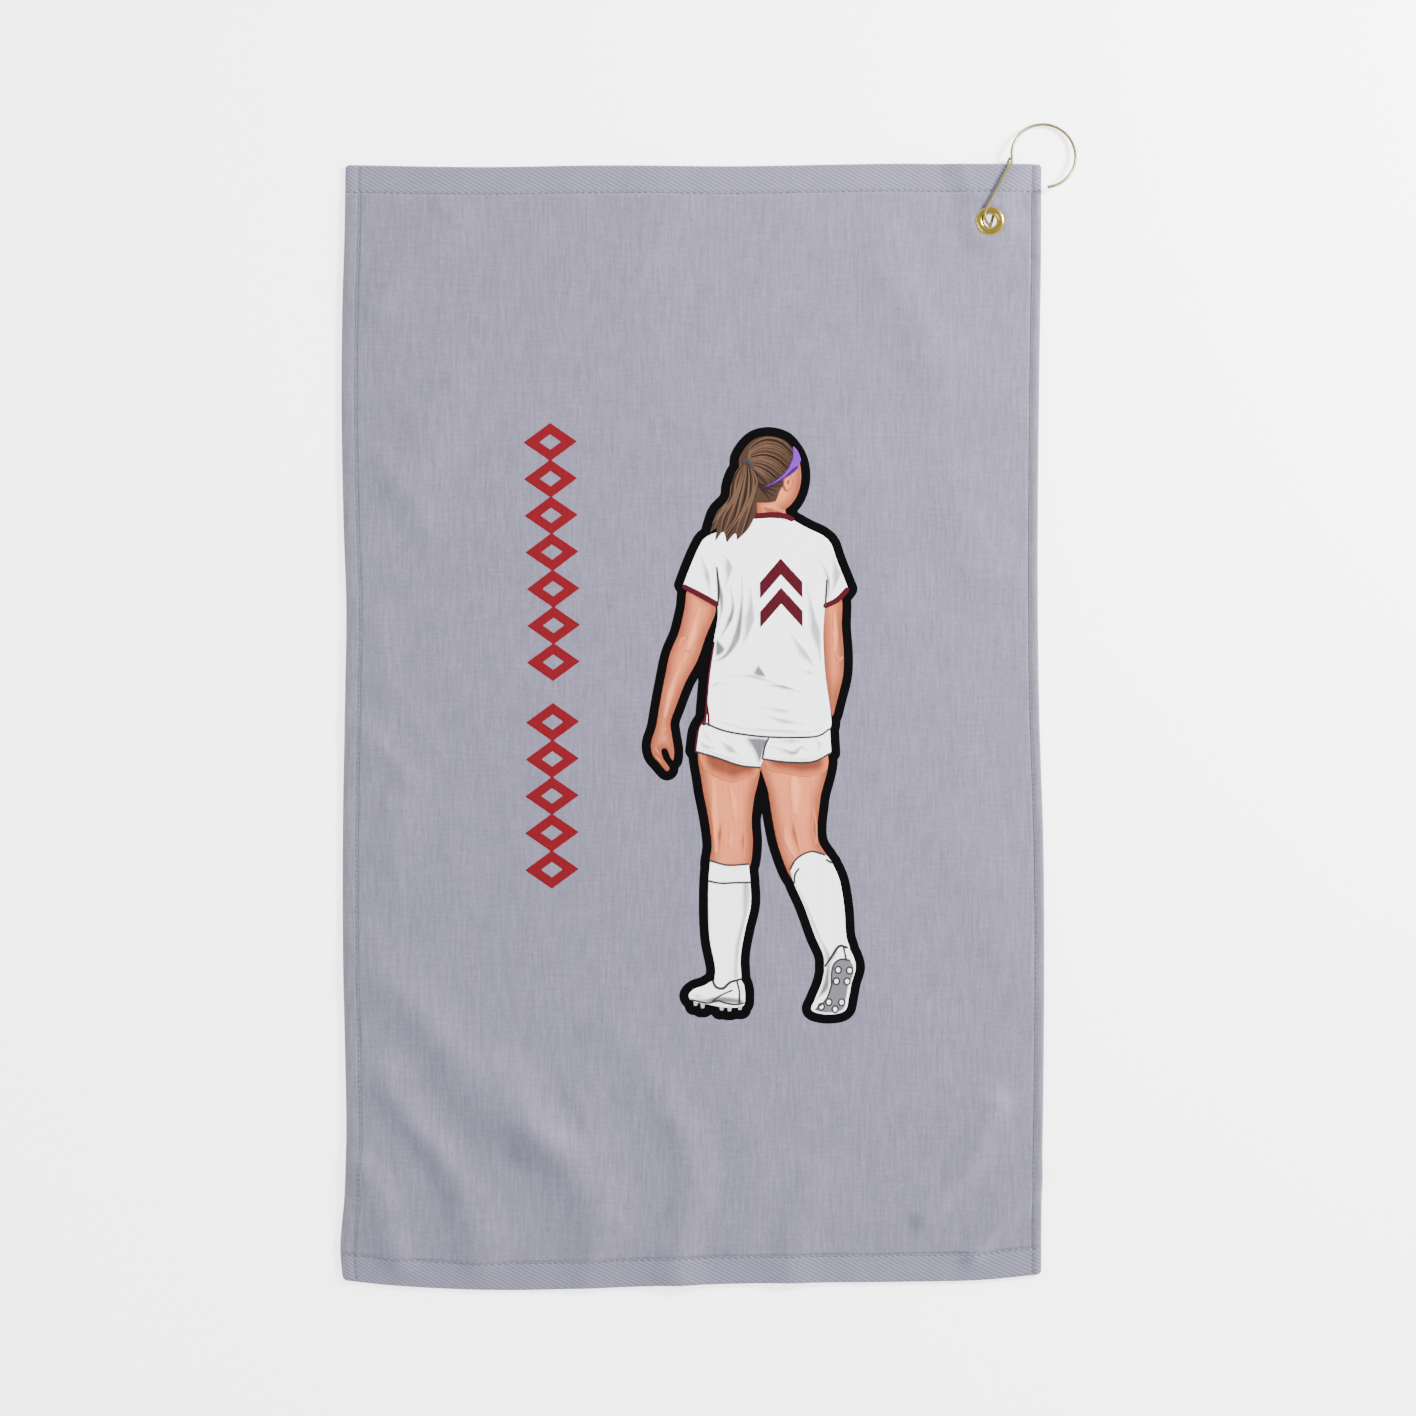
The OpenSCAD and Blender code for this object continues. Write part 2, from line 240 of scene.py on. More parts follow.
def face(u, v):
    """Height of the cloth's face above its underside."""
    in_band = smooth01((np.abs(v) - FIELD_V + 0.9) / 1.1)
    left = np.clip(1 - np.abs((HALF_W + u) - LEFT_HEM * 0.45) / (LEFT_HEM * 0.5), 0, 1)
    right = np.clip(1 - np.abs((HALF_W - u) - RIGHT_HEM * 0.45) / (RIGHT_HEM * 0.5), 0, 1)
    high = CLOTH_T + (BAND_T - CLOTH_T) * in_band + HEM_ROLL * (smooth01(left) + smooth01(right))
    high = high + in_band * RIB_HEIGHT * (rib(u, v) - 0.6)
    pile = 0.035 * np.sin(u * 2.1 + 0.7 * np.sin(v / 9)) + 0.03 * np.sin(u / 1.7 + v / 23)
    high = high + (1 - in_band) * pile - seams(u, v, *FACE_SEAM)
    r = from_grommet(u, v)
    turn = np.arctan2(v - GROMMET_UV[1], u - GROMMET_UV[0])
    pressed = 1 - smooth01((r - FLANGE_R + 0.8) / 3)  # under the flange
    pucker = 0.12 * np.sin(11 * turn) * np.exp(-(((r - FLANGE_R - 2) / 2) ** 2))
    high = high + (FLANGE_Z - CORNER_LIFT - 0.02 - high) * pressed + pucker
    return RIM_MIDDLE + (high - RIM_MIDDLE) * rim(u, v)


def back(u, v):
    """Height of the cloth's terry underside: loops on the field, plain on the hems."""
    in_field = (smooth01((FIELD_V - np.abs(v)) / 2) * smooth01((u - FIELD_U[0]) / 2)
                * smooth01((FIELD_U[1] - u) / 2))
    loops = 0.5 - 0.5 * np.abs(np.sin(math.pi * u / 3.3 + 0.9 * np.sin(v / 5.3))
                               * np.sin(math.pi * v / 2.9 + 0.8 * np.sin(u / 4.1)))
    low = 0.45 * loops * in_field + seams(u, v, *BACK_SEAM)
    r = from_grommet(u, v)
    pressed = 1 - smooth01((r - WASHER_R) / 2.5)
    low = low + (washer_hi[2] - CORNER_LIFT + 0.02 - low) * pressed
    return RIM_MIDDLE + (low - RIM_MIDDLE) * rim(u, v)


# ---------------------------------------------------------------- meshes


def new_object(name, points, faces, smooth=None):
    """A mesh object. faces is a list of arrays, one face a row; smooth says which arrays shade smooth."""
    mesh = bpy.data.meshes.new(name)
    mesh.vertices.add(len(points))
    mesh.vertices.foreach_set("co", np.asarray(points, np.float32).ravel())
    faces = [np.asarray(f, np.int32) for f in faces]
    sizes = np.concatenate([np.full(len(f), f.shape[1]) for f in faces])
    mesh.loops.add(int(sizes.sum()))
    mesh.loops.foreach_set("vertex_index", np.concatenate([f.ravel() for f in faces]))
    mesh.polygons.add(len(sizes))
    mesh.polygons.foreach_set("loop_start", (np.cumsum(sizes) - sizes).astype(np.int32))
    smooth = smooth or [True] * len(faces)
    mesh.polygons.foreach_set("use_smooth", np.repeat(smooth, [len(f) for f in faces]))
    mesh.update(calc_edges=True)
    mesh.validate()
    obj = bpy.data.objects.new(name, mesh)
    bpy.context.collection.objects.link(obj)
    return obj


def grid_faces(n, m, loop_n=0, loop_m=0):
    """Quads of an n by m grid of points, row by row. A loop of 1 joins last row or column to first."""
    i, j = np.indices((n - 1 + loop_n, m - 1 + loop_m)).reshape(2, -1)
    next_i, next_j = (i + 1) % n, (j + 1) % m
    return np.stack([i * m + j, next_i * m + j, next_i * m + next_j, i * m + next_j], 1)


def clipped_grid(us, vs, field):
    """The part of a grid where field is below 0: its points, quads and triangles, and the points' field."""
    n, m = len(us), len(vs)
    grid_u, grid_v = np.meshgrid(us, vs, indexing="ij")
    points = np.stack([grid_u.ravel(), grid_v.ravel()], 1)
    value = field.ravel()
    inside = value < 0
    cells = grid_faces(n, m)
    count = inside[cells].sum(1)
    quads = cells[count == 4]
    mixed = cells[(count > 0) & (count < 4)]
    tris = np.concatenate([mixed[:, [0, 1, 2]], mixed[:, [0, 2, 3]]])
    found = inside[tris]
    n_in = found.sum(1)
    whole = tris[n_in == 3]

    def turned(rows, first):
        k = (np.argmax(first, 1)[:, None] + np.arange(3)) % 3
        return np.take_along_axis(rows, k, 1)

    one = turned(tris[n_in == 1], found[n_in == 1])
    two = turned(tris[n_in == 2], ~found[n_in == 2])  # its first corner is the one outside
    cuts = np.concatenate([one[:, [0, 1]], one[:, [0, 2]], two[:, [0, 1]], two[:, [0, 2]]])
    keys, index = np.unique(np.sort(cuts, 1), axis=0, return_inverse=True)
    index = index.ravel() + n * m
    share = np.clip(value[keys[:, 0]] / (value[keys[:, 0]] - value[keys[:, 1]]), 0.03, 0.97)[:, None]
    crossing = points[keys[:, 0]] * (1 - share) + points[keys[:, 1]] * share
    k, j = len(one), len(two)
    one_faces = np.stack([one[:, 0], index[:k], index[k:2 * k]], 1)
    two_faces = np.stack([two[:, 1], two[:, 2], index[2 * k + j:], index[2 * k:2 * k + j]], 1)
    points = np.concatenate([points, crossing])
    value = np.concatenate([value, np.zeros(len(crossing))])
    quads = np.concatenate([quads, two_faces])
    tris = np.concatenate([whole, one_faces])
    used = np.zeros(len(points), bool)
    used[quads.ravel()] = used[tris.ravel()] = True
    renumber = np.cumsum(used) - 1
    return points[used], renumber[quads], renumber[tris], value[used]


def slab(name, points, quads, tris, high, low):
    """A closed mesh between two heights over flat points: its face, its back and the walls between them."""
    n = len(points)
    u, v = points.T
    sides = [np.stack([f, np.roll(f, -1, 1)], 2).reshape(-1, 2) for f in (quads, tris) if len(f)]
    edges = np.concatenate(sides)
    key, reverse = edges[:, 0] * n + edges[:, 1], edges[:, 1] * n + edges[:, 0]
    border = edges[~np.isin(key, reverse)]
    walls = np.stack([border[:, 1], border[:, 0], border[:, 0] + n, border[:, 1] + n], 1)
    faces, smooth = [], []
    for f in (quads, tris):
        if len(f):
            faces += [f, f[:, ::-1] + n]
            smooth += [True, True]
    both = np.concatenate([place(u, v, high), place(u, v, low)])
    return new_object(name, both, faces + [walls], smooth + [False])


def tag(obj, name, on_face, on_back):
    """Gives a slab's points a number that its material reads."""
    values = np.concatenate([on_face, on_back]).astype(np.float32)
    obj.data.attributes.new(name, "FLOAT", "POINT").data.foreach_set("value", values)
    return obj


def cloth_piece(name, us, vs):
    """A piece of the towel's cloth over a grid."""
    grid_u, grid_v = np.meshgrid(us, vs, indexing="ij")
    u, v = grid_u.ravel(), grid_v.ravel()
    quads, no_tris = grid_faces(len(us), len(vs)), np.zeros((0, 3), int)
    piece = slab(name, np.stack([u, v], 1), quads, no_tris, face(u, v), back(u, v))
    # The rib number drives the twill's painted highlight on rib crests and painted shade between ribs.
    return tag(piece, "rib", rib(u, v), rib(u, v))


def rows(lo, hi, pitch):
    """Even grid lines from lo to hi, about pitch apart."""
    return np.linspace(lo, hi, max(2, round((hi - lo) / pitch) + 1))


def round_edge(out, inward):
    """Grid lines round a folded edge at out, closer together where the surface turns down."""
    turn = np.linspace(0, math.pi / 2, 7)[:-1]
    return out + np.sign(inward) * RIM * (1 - np.cos(turn))


def tube(path, radius, sides=12, rings_at_ends=3):
    """A round bar along a path, with domed ends: its points, quads and two end caps."""
    tangent = np.gradient(path, axis=0)
    tangent /= np.linalg.norm(tangent, axis=1)[:, None]
    dome = np.linspace(0, math.pi / 2, rings_at_ends + 1)[1:]
    front = path[0] - tangent[0] * radius * np.sin(dome[::-1, None])
    rear = path[-1] + tangent[-1] * radius * np.sin(dome[:, None])
    small = radius * np.maximum(np.cos(dome), 0.08)
    radii = np.concatenate([small[::-1], np.full(len(path), radius), small])
    path = np.concatenate([front, path, rear])
    tangent = np.pad(tangent, ((len(dome), len(dome)), (0, 0)), "edge")
    side = np.array([0.0, 0.0, 1.0]) if abs(tangent[0][2]) < 0.9 else np.array([1.0, 0.0, 0.0])
    points = []
    angle = np.arange(sides) * 2 * math.pi / sides
    for p, t, r in zip(path, tangent, radii):
        side = side - (side @ t) * t
        side /= np.linalg.norm(side)
        other = np.cross(t, side)
        points.append(p + r * (np.cos(angle)[:, None] * side + np.sin(angle)[:, None] * other))
    n = len(path)
    quads = grid_faces(n, sides, loop_m=1)[:, [0, 3, 2, 1]]
    caps = np.array([np.arange(sides)[::-1], (n - 1) * sides + np.arange(sides)])
    return np.concatenate(points), quads, caps


def lathe(name, profile, at, turns=144):
    """A closed outline of radius and height turned about a vertical axis at the given place."""
    profile = np.array(profile, float)
    angle = np.arange(turns) * 2 * math.pi / turns
    points = np.stack([at[0] + np.outer(np.cos(angle), profile[:, 0]).ravel(),
                       at[1] + np.outer(np.sin(angle), profile[:, 0]).ravel(),
                       np.tile(profile[:, 1], turns)], 1) * MM
    return new_object(name, points, [grid_faces(turns, len(profile), loop_n=1, loop_m=1)])


# ---------------------------------------------------------------- materials


class Shader:
    """One node material, built up a step at a time."""

    def __init__(self, name, colour, roughness, **inputs):
        self.material = bpy.data.materials.new(name)
        self.material.use_nodes = True
        self.nodes = self.material.node_tree.nodes
        self.links = self.material.node_tree.links
        self.bsdf = self.nodes["Principled BSDF"]
        self.set(self.bsdf, "Base Color", colour)
        self.set(self.bsdf, "Roughness", roughness)
        for key, value in inputs.items():
            self.set(self.bsdf, key.replace("_", " "), value)
        self.coords = self.nodes.new("ShaderNodeTexCoord").outputs["Object"]

    def set(self, node, socket, value):
        if isinstance(value, bpy.types.NodeSocket):
            self.links.new(value, node.inputs[socket])
        else:
            node.inputs[socket].default_value = value

    def add(self, kind, inputs=(), **settings):
        node = self.nodes.new("ShaderNode" + kind)
        for key, value in settings.items():
            setattr(node, key, value)
        for socket, value in dict(inputs).items():
            self.set(node, socket, value)
        return node

    def noise(self, scale, detail=2.0, rough=0.5, turn=0.0):
        """Noise whose scale is in cycles a metre along X, Y and Z, turned about Z first."""
        turned = self.add("Mapping", {"Vector": self.coords, "Rotation": (0, 0, turn)}).outputs["Vector"]
        mapped = self.add("Mapping", {"Vector": turned, "Scale": scale}).outputs["Vector"]
        inputs = {"Vector": mapped, "Scale": 1.0, "Detail": detail, "Roughness": rough}
        return self.add("TexNoise", inputs).outputs["Fac"]

    def remap(self, value, lo, hi, to_lo, to_hi):
        return self.add("MapRange", {"Value": value, "From Min": lo, "From Max": hi,
                                     "To Min": to_lo, "To Max": to_hi}).outputs["Result"]

    def math(self, operation, a, b=0.0):
        return self.add("Math", {0: a, 1: b}, operation=operation).outputs[0]

    def times(self, first, *others):
        for other in others:
            first = self.math("MULTIPLY", first, other)
        return first

    def attribute(self, name):
        return self.add("Attribute", attribute_name=name).outputs["Fac"]

    def shaded(self, colour, factor):
        """The colour with its brightness times factor."""
        return self.add("HueSaturation", {"Value": factor, "Color": colour}).outputs["Color"]

    def mixed(self, factor, a, b):
        node = self.add("Mix", data_type="RGBA")
        self.set(node, 0, factor)
        self.set(node, 6, a)
        self.set(node, 7, b)
        return node.outputs[2]

    def bump(self, height, distance, strength=1.0):
        """Adds a bump: distance is the height in millimetres of the whole 0 to 1 range."""
        node = self.add("Bump", {"Height": height, "Distance": distance * MM, "Strength": strength})
        before = self.bsdf.inputs["Normal"].links
        if before:
            self.links.new(before[0].from_socket, node.inputs["Normal"])
        self.links.new(node.outputs["Normal"], self.bsdf.inputs["Normal"])


def velour(name, colour, dark=0.0):
    """Sheared pile with a sheen: fine rows, soft mottling that dark deepens, and loops on the terry side, with
    painted shade in the gaps between the loops.
    """
    s = Shader(name, colour, 0.95, Sheen_Weight=0.35, Sheen_Roughness=0.5, Specular_IOR_Level=0.15)
    row = s.noise((640, 60, 60), detail=3)
    pick = s.noise((60, 640, 60), detail=3)
    patch = s.noise((55, 38, 38), detail=4, rough=0.65)
    tuft = s.noise((620, 620, 620), detail=2)
    loops = s.add("TexVoronoi", {"Vector": s.coords, "Scale": 460.0}).outputs["Distance"]
    gap = s.times(loops, s.attribute("terry"))
    # gap darkens the colour to half between the terry loops: painted shade in the gaps.
    tone = s.times(s.remap(row, 0.3, 0.7, 0.88, 1.12), s.remap(patch, 0.3, 0.7, 0.95 - dark, 1.05),
                   s.remap(tuft, 0.25, 0.75, 0.9, 1.1), s.remap(pick, 0.3, 0.7, 0.95, 1.05),
                   s.remap(gap, 0.0, 1.0, 1.0, 0.5))
    s.set(s.bsdf, "Base Color", s.shaded(colour, tone))
    s.bump(tuft, 0.25, 0.5)
    s.bump(row, 0.35, 0.5)
    s.bump(pick, 0.2, 0.4)
    s.bump(s.math("SUBTRACT", 1.0, gap), 1.2, 1.0)
    return s.material


def twill(name, colour):
    """Flat woven band: each diagonal rib, which the mesh has, is made of short yarns across it. Its colour has
    painted highlight along the rib crests and painted shade between the ribs.
    """
    s = Shader(name, colour, 0.9, Sheen_Weight=0.25, Sheen_Roughness=0.5, Specular_IOR_Level=0.2)
    yarn = s.noise((1500, 480, 480), detail=2, turn=RIB_TILT)
    patch = s.noise((60, 60, 60), detail=3)
    # The rib number paints highlight along each crest and shade between the ribs.
    tone = s.times(s.remap(yarn, 0.25, 0.75, 0.88, 1.12), s.remap(patch, 0.3, 0.7, 0.97, 1.03),
                   s.remap(s.attribute("rib"), 0.15, 0.95, 0.62, 1.16))
    s.set(s.bsdf, "Base Color", s.shaded(colour, tone))
    s.bump(yarn, 0.2, 0.6)
    return s.material


def thread(name, colour):
    """Twisted sewing thread."""
    s = Shader(name, colour, 0.6, Sheen_Weight=0.3)
    twist = s.noise((2600, 2600, 2600), detail=1)
    s.set(s.bsdf, "Base Color", s.shaded(colour, s.remap(twist, 0.3, 0.7, 0.82, 1.1)))
    s.bump(twist, 0.1, 0.6)
    return s.material


def metal(name, colour, roughness):
    """Polished metal with fine handling scratches and slight tarnish."""
    s = Shader(name, colour, roughness, Metallic=1.0)
    smear = s.noise((160, 160, 160), detail=4, rough=0.65)
    line = s.noise((3200, 260, 900), detail=2, turn=0.7)
    s.set(s.bsdf, "Base Color", s.shaded(colour, s.remap(smear, 0.3, 0.75, 1.04, 0.84)))
    s.set(s.bsdf, "Roughness", s.math("ADD", s.remap(smear, 0.3, 0.7, roughness - 0.05, roughness + 0.12),
                                      s.remap(line, 0.45, 0.8, 0.0, 0.12)))
    s.bump(line, 0.02, 0.25)
    return s.material


def ink(name, colour, edge_colour=None):
    """Print on the pile, whose rows show through. edge_colour is the colour at the shape's edge."""
    s = Shader(name, colour, 0.95, Specular_IOR_Level=0.04)
    row = s.noise((640, 60, 60), detail=3)
    if edge_colour is not None:
        soft = s.remap(s.noise((90, 40, 40), detail=1), 0.3, 0.7, -0.12, 0.12)
        inner = s.math("ADD", s.attribute("inward"), soft)
        colour = s.mixed(s.remap(inner, 0.0, 1.0, 0.0, 1.0), edge_colour, colour)
    s.set(s.bsdf, "Base Color", s.shaded(colour, s.remap(row, 0.3, 0.7, 0.97, 1.03)))
    s.bump(row, 0.2, 0.4)
    return s.material


# Linear colours.
VELOUR = (0.132, 0.124, 0.170, 1)
TWILL = (0.144, 0.137, 0.189, 1)
ROLLED = (0.128, 0.124, 0.160, 1)
THREAD = (0.105, 0.100, 0.132, 1)
EYELET = (0.40, 0.285, 0.055, 1)
WIRE = (0.21, 0.182, 0.085, 1)

velour_cloth = velour("velour", VELOUR)
rolled_cloth = velour("rolled_velour", ROLLED, dark=0.02)
twill_cloth = twill("twill", TWILL)
seam_thread = thread("seam_thread", THREAD)
eyelet_brass = metal("eyelet_brass", EYELET, 0.16)
wire_brass = metal("wire_brass", WIRE, 0.28)


def dress(obj, material, body, slot, *nodes):
    """Gives a piece its material and body, and hides the CAD nodes it stands for. slot is not used."""
    obj.data.materials.append(material)
    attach(obj, body)
    if nodes:
        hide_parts(*nodes)
    return obj


# ---------------------------------------------------------------- cloth

FIELD_GRID, BAND_GRID = 1.25, 0.5
HEM_GRID, HEM_GRID_ALONG = 0.6, 0.75

us = rows(*FIELD_U, FIELD_GRID)
vs = rows(-FIELD_V, FIELD_V, FIELD_GRID)
hole_r = THROAT_R + BRASS_T + 0.05
flat, quads, tris, _ = clipped_grid(us, vs, hole_r - from_grommet(*np.meshgrid(us, vs, indexing="ij")))
field = slab("cloth_field", flat, quads, tris, face(*flat.T), back(*flat.T))
tag(field, "terry", np.zeros(len(flat)), np.ones(len(flat)))
dress(field, velour_cloth, "towel", "velour", "towel_body")

along_u = np.concatenate([round_edge(-HALF_W, 1), rows(-HALF_W + RIM, HALF_W - RIM, BAND_GRID),
                          round_edge(HALF_W, -1)[::-1]])
for name, side in (("top", 1), ("bottom", -1)):
    across = np.concatenate([rows(FIELD_V, HALF_L - RIM, BAND_GRID), round_edge(HALF_L, -1)[::-1]])
    band = cloth_piece(f"{name}_band", along_u, across if side > 0 else -across[::-1])
    dress(band, twill_cloth, "towel", "twill_band", f"{name}_hem")

for name, side, width in (("left", -1, LEFT_HEM), ("right", 1, RIGHT_HEM)):
    across = np.concatenate([rows(HALF_W - width, HALF_W - RIM, HEM_GRID), round_edge(HALF_W, -1)[::-1]])
    along_v = rows(-FIELD_V, FIELD_V, HEM_GRID_ALONG)
    hem = cloth_piece(f"{name}_rolled_hem", across if side > 0 else -across[::-1], along_v)
    dress(hem, rolled_cloth, "towel", "rolled_hem", f"{name}_hem")


THREAD_R, SEAM_MARGIN = 0.24, 1.2


def stitches(name, seam, pitch, level, under):
    """A row of separate stitches from one length of a seam to another. level gives the flat point at a
    length, and under puts the stitches on the cloth's back."""
    points, quads, caps = [], [], []
    start = 0
    n = int((seam[1] - seam[0]) / pitch)
    along = np.linspace(-1, 1, 9)
    bow = np.cos(along * math.pi / 2) ** 0.6
    for k in range(n):
        s = seam[0] + (seam[1] - seam[0]) * (k + 0.5) / n + along / 2 * pitch * 0.94
        slant = 0.12 * along + 0.04 * RNG.standard_normal()
        u, v = level(s, slant)
        surface = back(u, v) - 0.05 - 0.1 * bow + 0.25 * (1 - bow) if under else face(u, v) - 0.1 + 0.3 * bow
        p, q, c = tube(np.stack([u, v, surface], 1), THREAD_R, sides=7, rings_at_ends=1)
        points.append(p)
        quads.append(q + start)
        caps.append(c + start)
        start += len(p)
    flat_points = np.concatenate(points)
    return new_object(name, place(*flat_points.T), [np.concatenate(quads), np.concatenate(caps)])


END_RUN, SIDE_RUN = ((-half + SEAM_MARGIN, half - SEAM_MARGIN) for half in (HALF_W, HALF_L))
for name, run, pitch, level in (
    ("top", END_RUN, STITCH["end"], lambda s, w: (s, HALF_L - SEAM_END + w)),
    ("bottom", END_RUN, STITCH["end"], lambda s, w: (s, -HALF_L + SEAM_END + w)),
    ("left", SIDE_RUN, STITCH["side"], lambda s, w: (-HALF_W + SEAM_LEFT + w, s)),
    ("right", SIDE_RUN, STITCH["side"], lambda s, w: (HALF_W - SEAM_RIGHT + w, s)),
):
    for kind, under in (("needle", False), ("bobbin", True)):
        piece = stitches(f"{name}_{kind}_stitches", run, pitch, level, under)
        dress(piece, seam_thread, "towel", "sewing_thread", f"{name}_{kind}_thread")

# ---------------------------------------------------------------- grommet and hook


def arc(centre, rx, ry, start, end, n):
    t = np.radians(np.linspace(start, end, n))
    return np.stack([centre[0] + rx * np.cos(t), centre[1] + ry * np.sin(t)], 1)


CREST_R = FLANGE_R - 2.1
BARREL_R = THROAT_R + BRASS_T
outer_roll = arc((CREST_R, FLANGE_Z), FLANGE_R - CREST_R, CREST_Z - FLANGE_Z, -12, 90, 18)
inner_roll = arc((CREST_R, FLANGE_Z - 0.6), CREST_R - THROAT_R, CREST_Z - FLANGE_Z + 0.6, 92, 180, 20)
foot = arc((BARREL_R + 0.55, BARREL_Z + 0.5), 0.85, 0.5, 190, 330, 12)
profile = np.concatenate([outer_roll, inner_roll, foot, [
    (BARREL_R + 1.0, washer_lo[2]), (BARREL_R, washer_lo[2]),
    (BARREL_R, FLANGE_Z - 0.35), (FLANGE_R - 0.5, FLANGE_Z - 0.3)]])
dress(lathe("eyelet", profile, GROMMET), eyelet_brass, "towel", "brass", "grommet_eyelet")
washer_profile = np.concatenate([
    [(BARREL_R, washer_lo[2])], arc((WASHER_R - 0.7, washer_lo[2] + 0.35), 0.7, 0.35, -90, 60, 8),
    [(WASHER_R - 0.4, washer_hi[2] - 0.05), (BARREL_R, washer_hi[2])]])
dress(lathe("washer", washer_profile, GROMMET), eyelet_brass, "towel", "brass", "grommet_washer")

WIRE_R, RING_R = 0.9, 18.7
RING_AT = node_box("towel_hook")[1][:2] - GROMMET - RING_R - WIRE_R
LEG_DIR = np.array([0.483, 0.876])
NECK_ALONG, LEG_Z, RING_SLOPE = 35.8, 7.6, 0.19


def ring_z(p):
    """The ring slopes down from the leg's height at its neck."""
    return LEG_Z - RING_SLOPE * (p @ LEG_DIR - NECK_ALONG)


def bend(a, b, c, d, steps):
    """A smooth curve's points from b up to c, with a before b and d after c."""
    t = np.arange(steps)[:, None] / steps
    return 0.5 * (2 * b + (c - a) * t + (2 * a - 5 * b + 4 * c - d) * t**2 + (3 * b - a - 3 * c + d) * t**3)


def spline(points, steps):
    """A smooth curve through open points."""
    p = np.asarray(points, float)
    p = np.concatenate([2 * p[:1] - p[1:2], p, 2 * p[-1:] - p[-2:-1]])
    return np.concatenate([*(bend(*four, steps) for four in zip(p, p[1:], p[2:], p[3:])), p[-2:-1]])


ring_xy = arc(RING_AT, RING_R, RING_R, -82, 176, 150)
ring = np.column_stack([ring_xy, ring_z(ring_xy)])
# Neck, front leg, bend through the grommet, back leg and the end against the neck: from the grommet's centre.
LEG = [
    (12.5, 35.6, 7.6), (12.1, 33.4, 7.6), (10.4, 30.2, 7.6), (4.2, 18.9, 7.6), (-1.8, 8.0, 7.6),
    (-3.2, 4.2, 7.5), (-3.1, 1.4, 7.2), (-2.0, -1.0, 6.3), (-0.5, -2.4, 5.0), (0.1, -2.7, 3.8),
    (0.2, -2.6, 2.4), (0.5, -1.9, 1.3), (1.1, 0.0, 1.05), (4.0, 10.8, 1.05), (8.2, 26.0, 1.05),
    (9.9, 32.2, 1.05), (10.7, 34.9, 1.3), (10.9, 35.6, 2.4), (11.0, 35.8, 4.0), (11.1, 36.0, 5.6),
]
wire = np.concatenate([ring, spline(LEG, 12)]) + [*GROMMET, 0]
points, quads, caps = tube(wire, WIRE_R, sides=20, rings_at_ends=5)
dress(new_object("wire_hook", points * MM, [quads, caps]), wire_brass, "hook", "hook_wire", "towel_hook")

# ---------------------------------------------------------------- prints

# A shape is a path and its half-widths along it, or a path and None where it is a filled outline.
CURVE_STEPS = 7


def area(*points):
    """A filled shape with a smooth outline. A point with a third value is a sharp corner."""
    p = np.array([p[:2] for p in points for _ in p[1:]], float)  # a corner is a point given twice
    fours = zip(np.roll(p, 1, 0), p, np.roll(p, -1, 0), np.roll(p, -2, 0))
    return np.concatenate([bend(*four, CURVE_STEPS) for four in fours if np.any(four[1] != four[2])]), None


def straight(*points):
    """A filled shape with straight sides."""
    return np.asarray(points, float), None


def oval(at, rx, ry, tilt=0.0):
    """A filled oval, turned by tilt degrees."""
    x, y = arc((0, 0), rx, ry, 0, 360, 41)[:-1].T
    c, s = math.cos(math.radians(tilt)), math.sin(math.radians(tilt))
    return np.stack([at[0] + x * c - y * s, at[1] + x * s + y * c], 1), None


def stroke(start, middle_w, end, *points):
    """A line through points whose width runs from start through middle_w to end."""
    path = spline(points, CURVE_STEPS)
    t = np.linspace(0, 1, len(path))
    return path, np.interp(t, [0, 0.5, 1], [start, middle_w, end]) / 2


def strokes(*rows):
    """Several lines, each the three widths and then the points."""
    return [stroke(*row) for row in rows]


def distance(shape, u, v):
    """How far each point is outside a shape; below 0 inside it."""
    path, radius = shape
    near = np.full(u.shape, 1e9)
    inside = np.zeros(u.shape, bool)
    ends = np.roll(path, -1, 0) if radius is None else path[1:]
    for k, ((x0, y0), (x1, y1)) in enumerate(zip(path, ends)):
        dx, dy = x1 - x0, y1 - y0
        t = np.clip(((u - x0) * dx + (v - y0) * dy) / (dx * dx + dy * dy + 1e-12), 0, 1)
        d = np.hypot(u - x0 - t * dx, v - y0 - t * dy)
        if radius is not None:
            d = d - radius[k] - t * (radius[k + 1] - radius[k])
        else:
            inside ^= ((y0 > v) != (y1 > v)) & (u < dx * (v - y0) / (dy if dy else 1e-12) + x0)
        near = np.minimum(near, d)
    return np.where(inside, -near, near)


FILM_STEP, FILM_SINK = 0.03, 0.08  # a layer's height over the one below, and the films' depth in the pile
FAR = 9.0


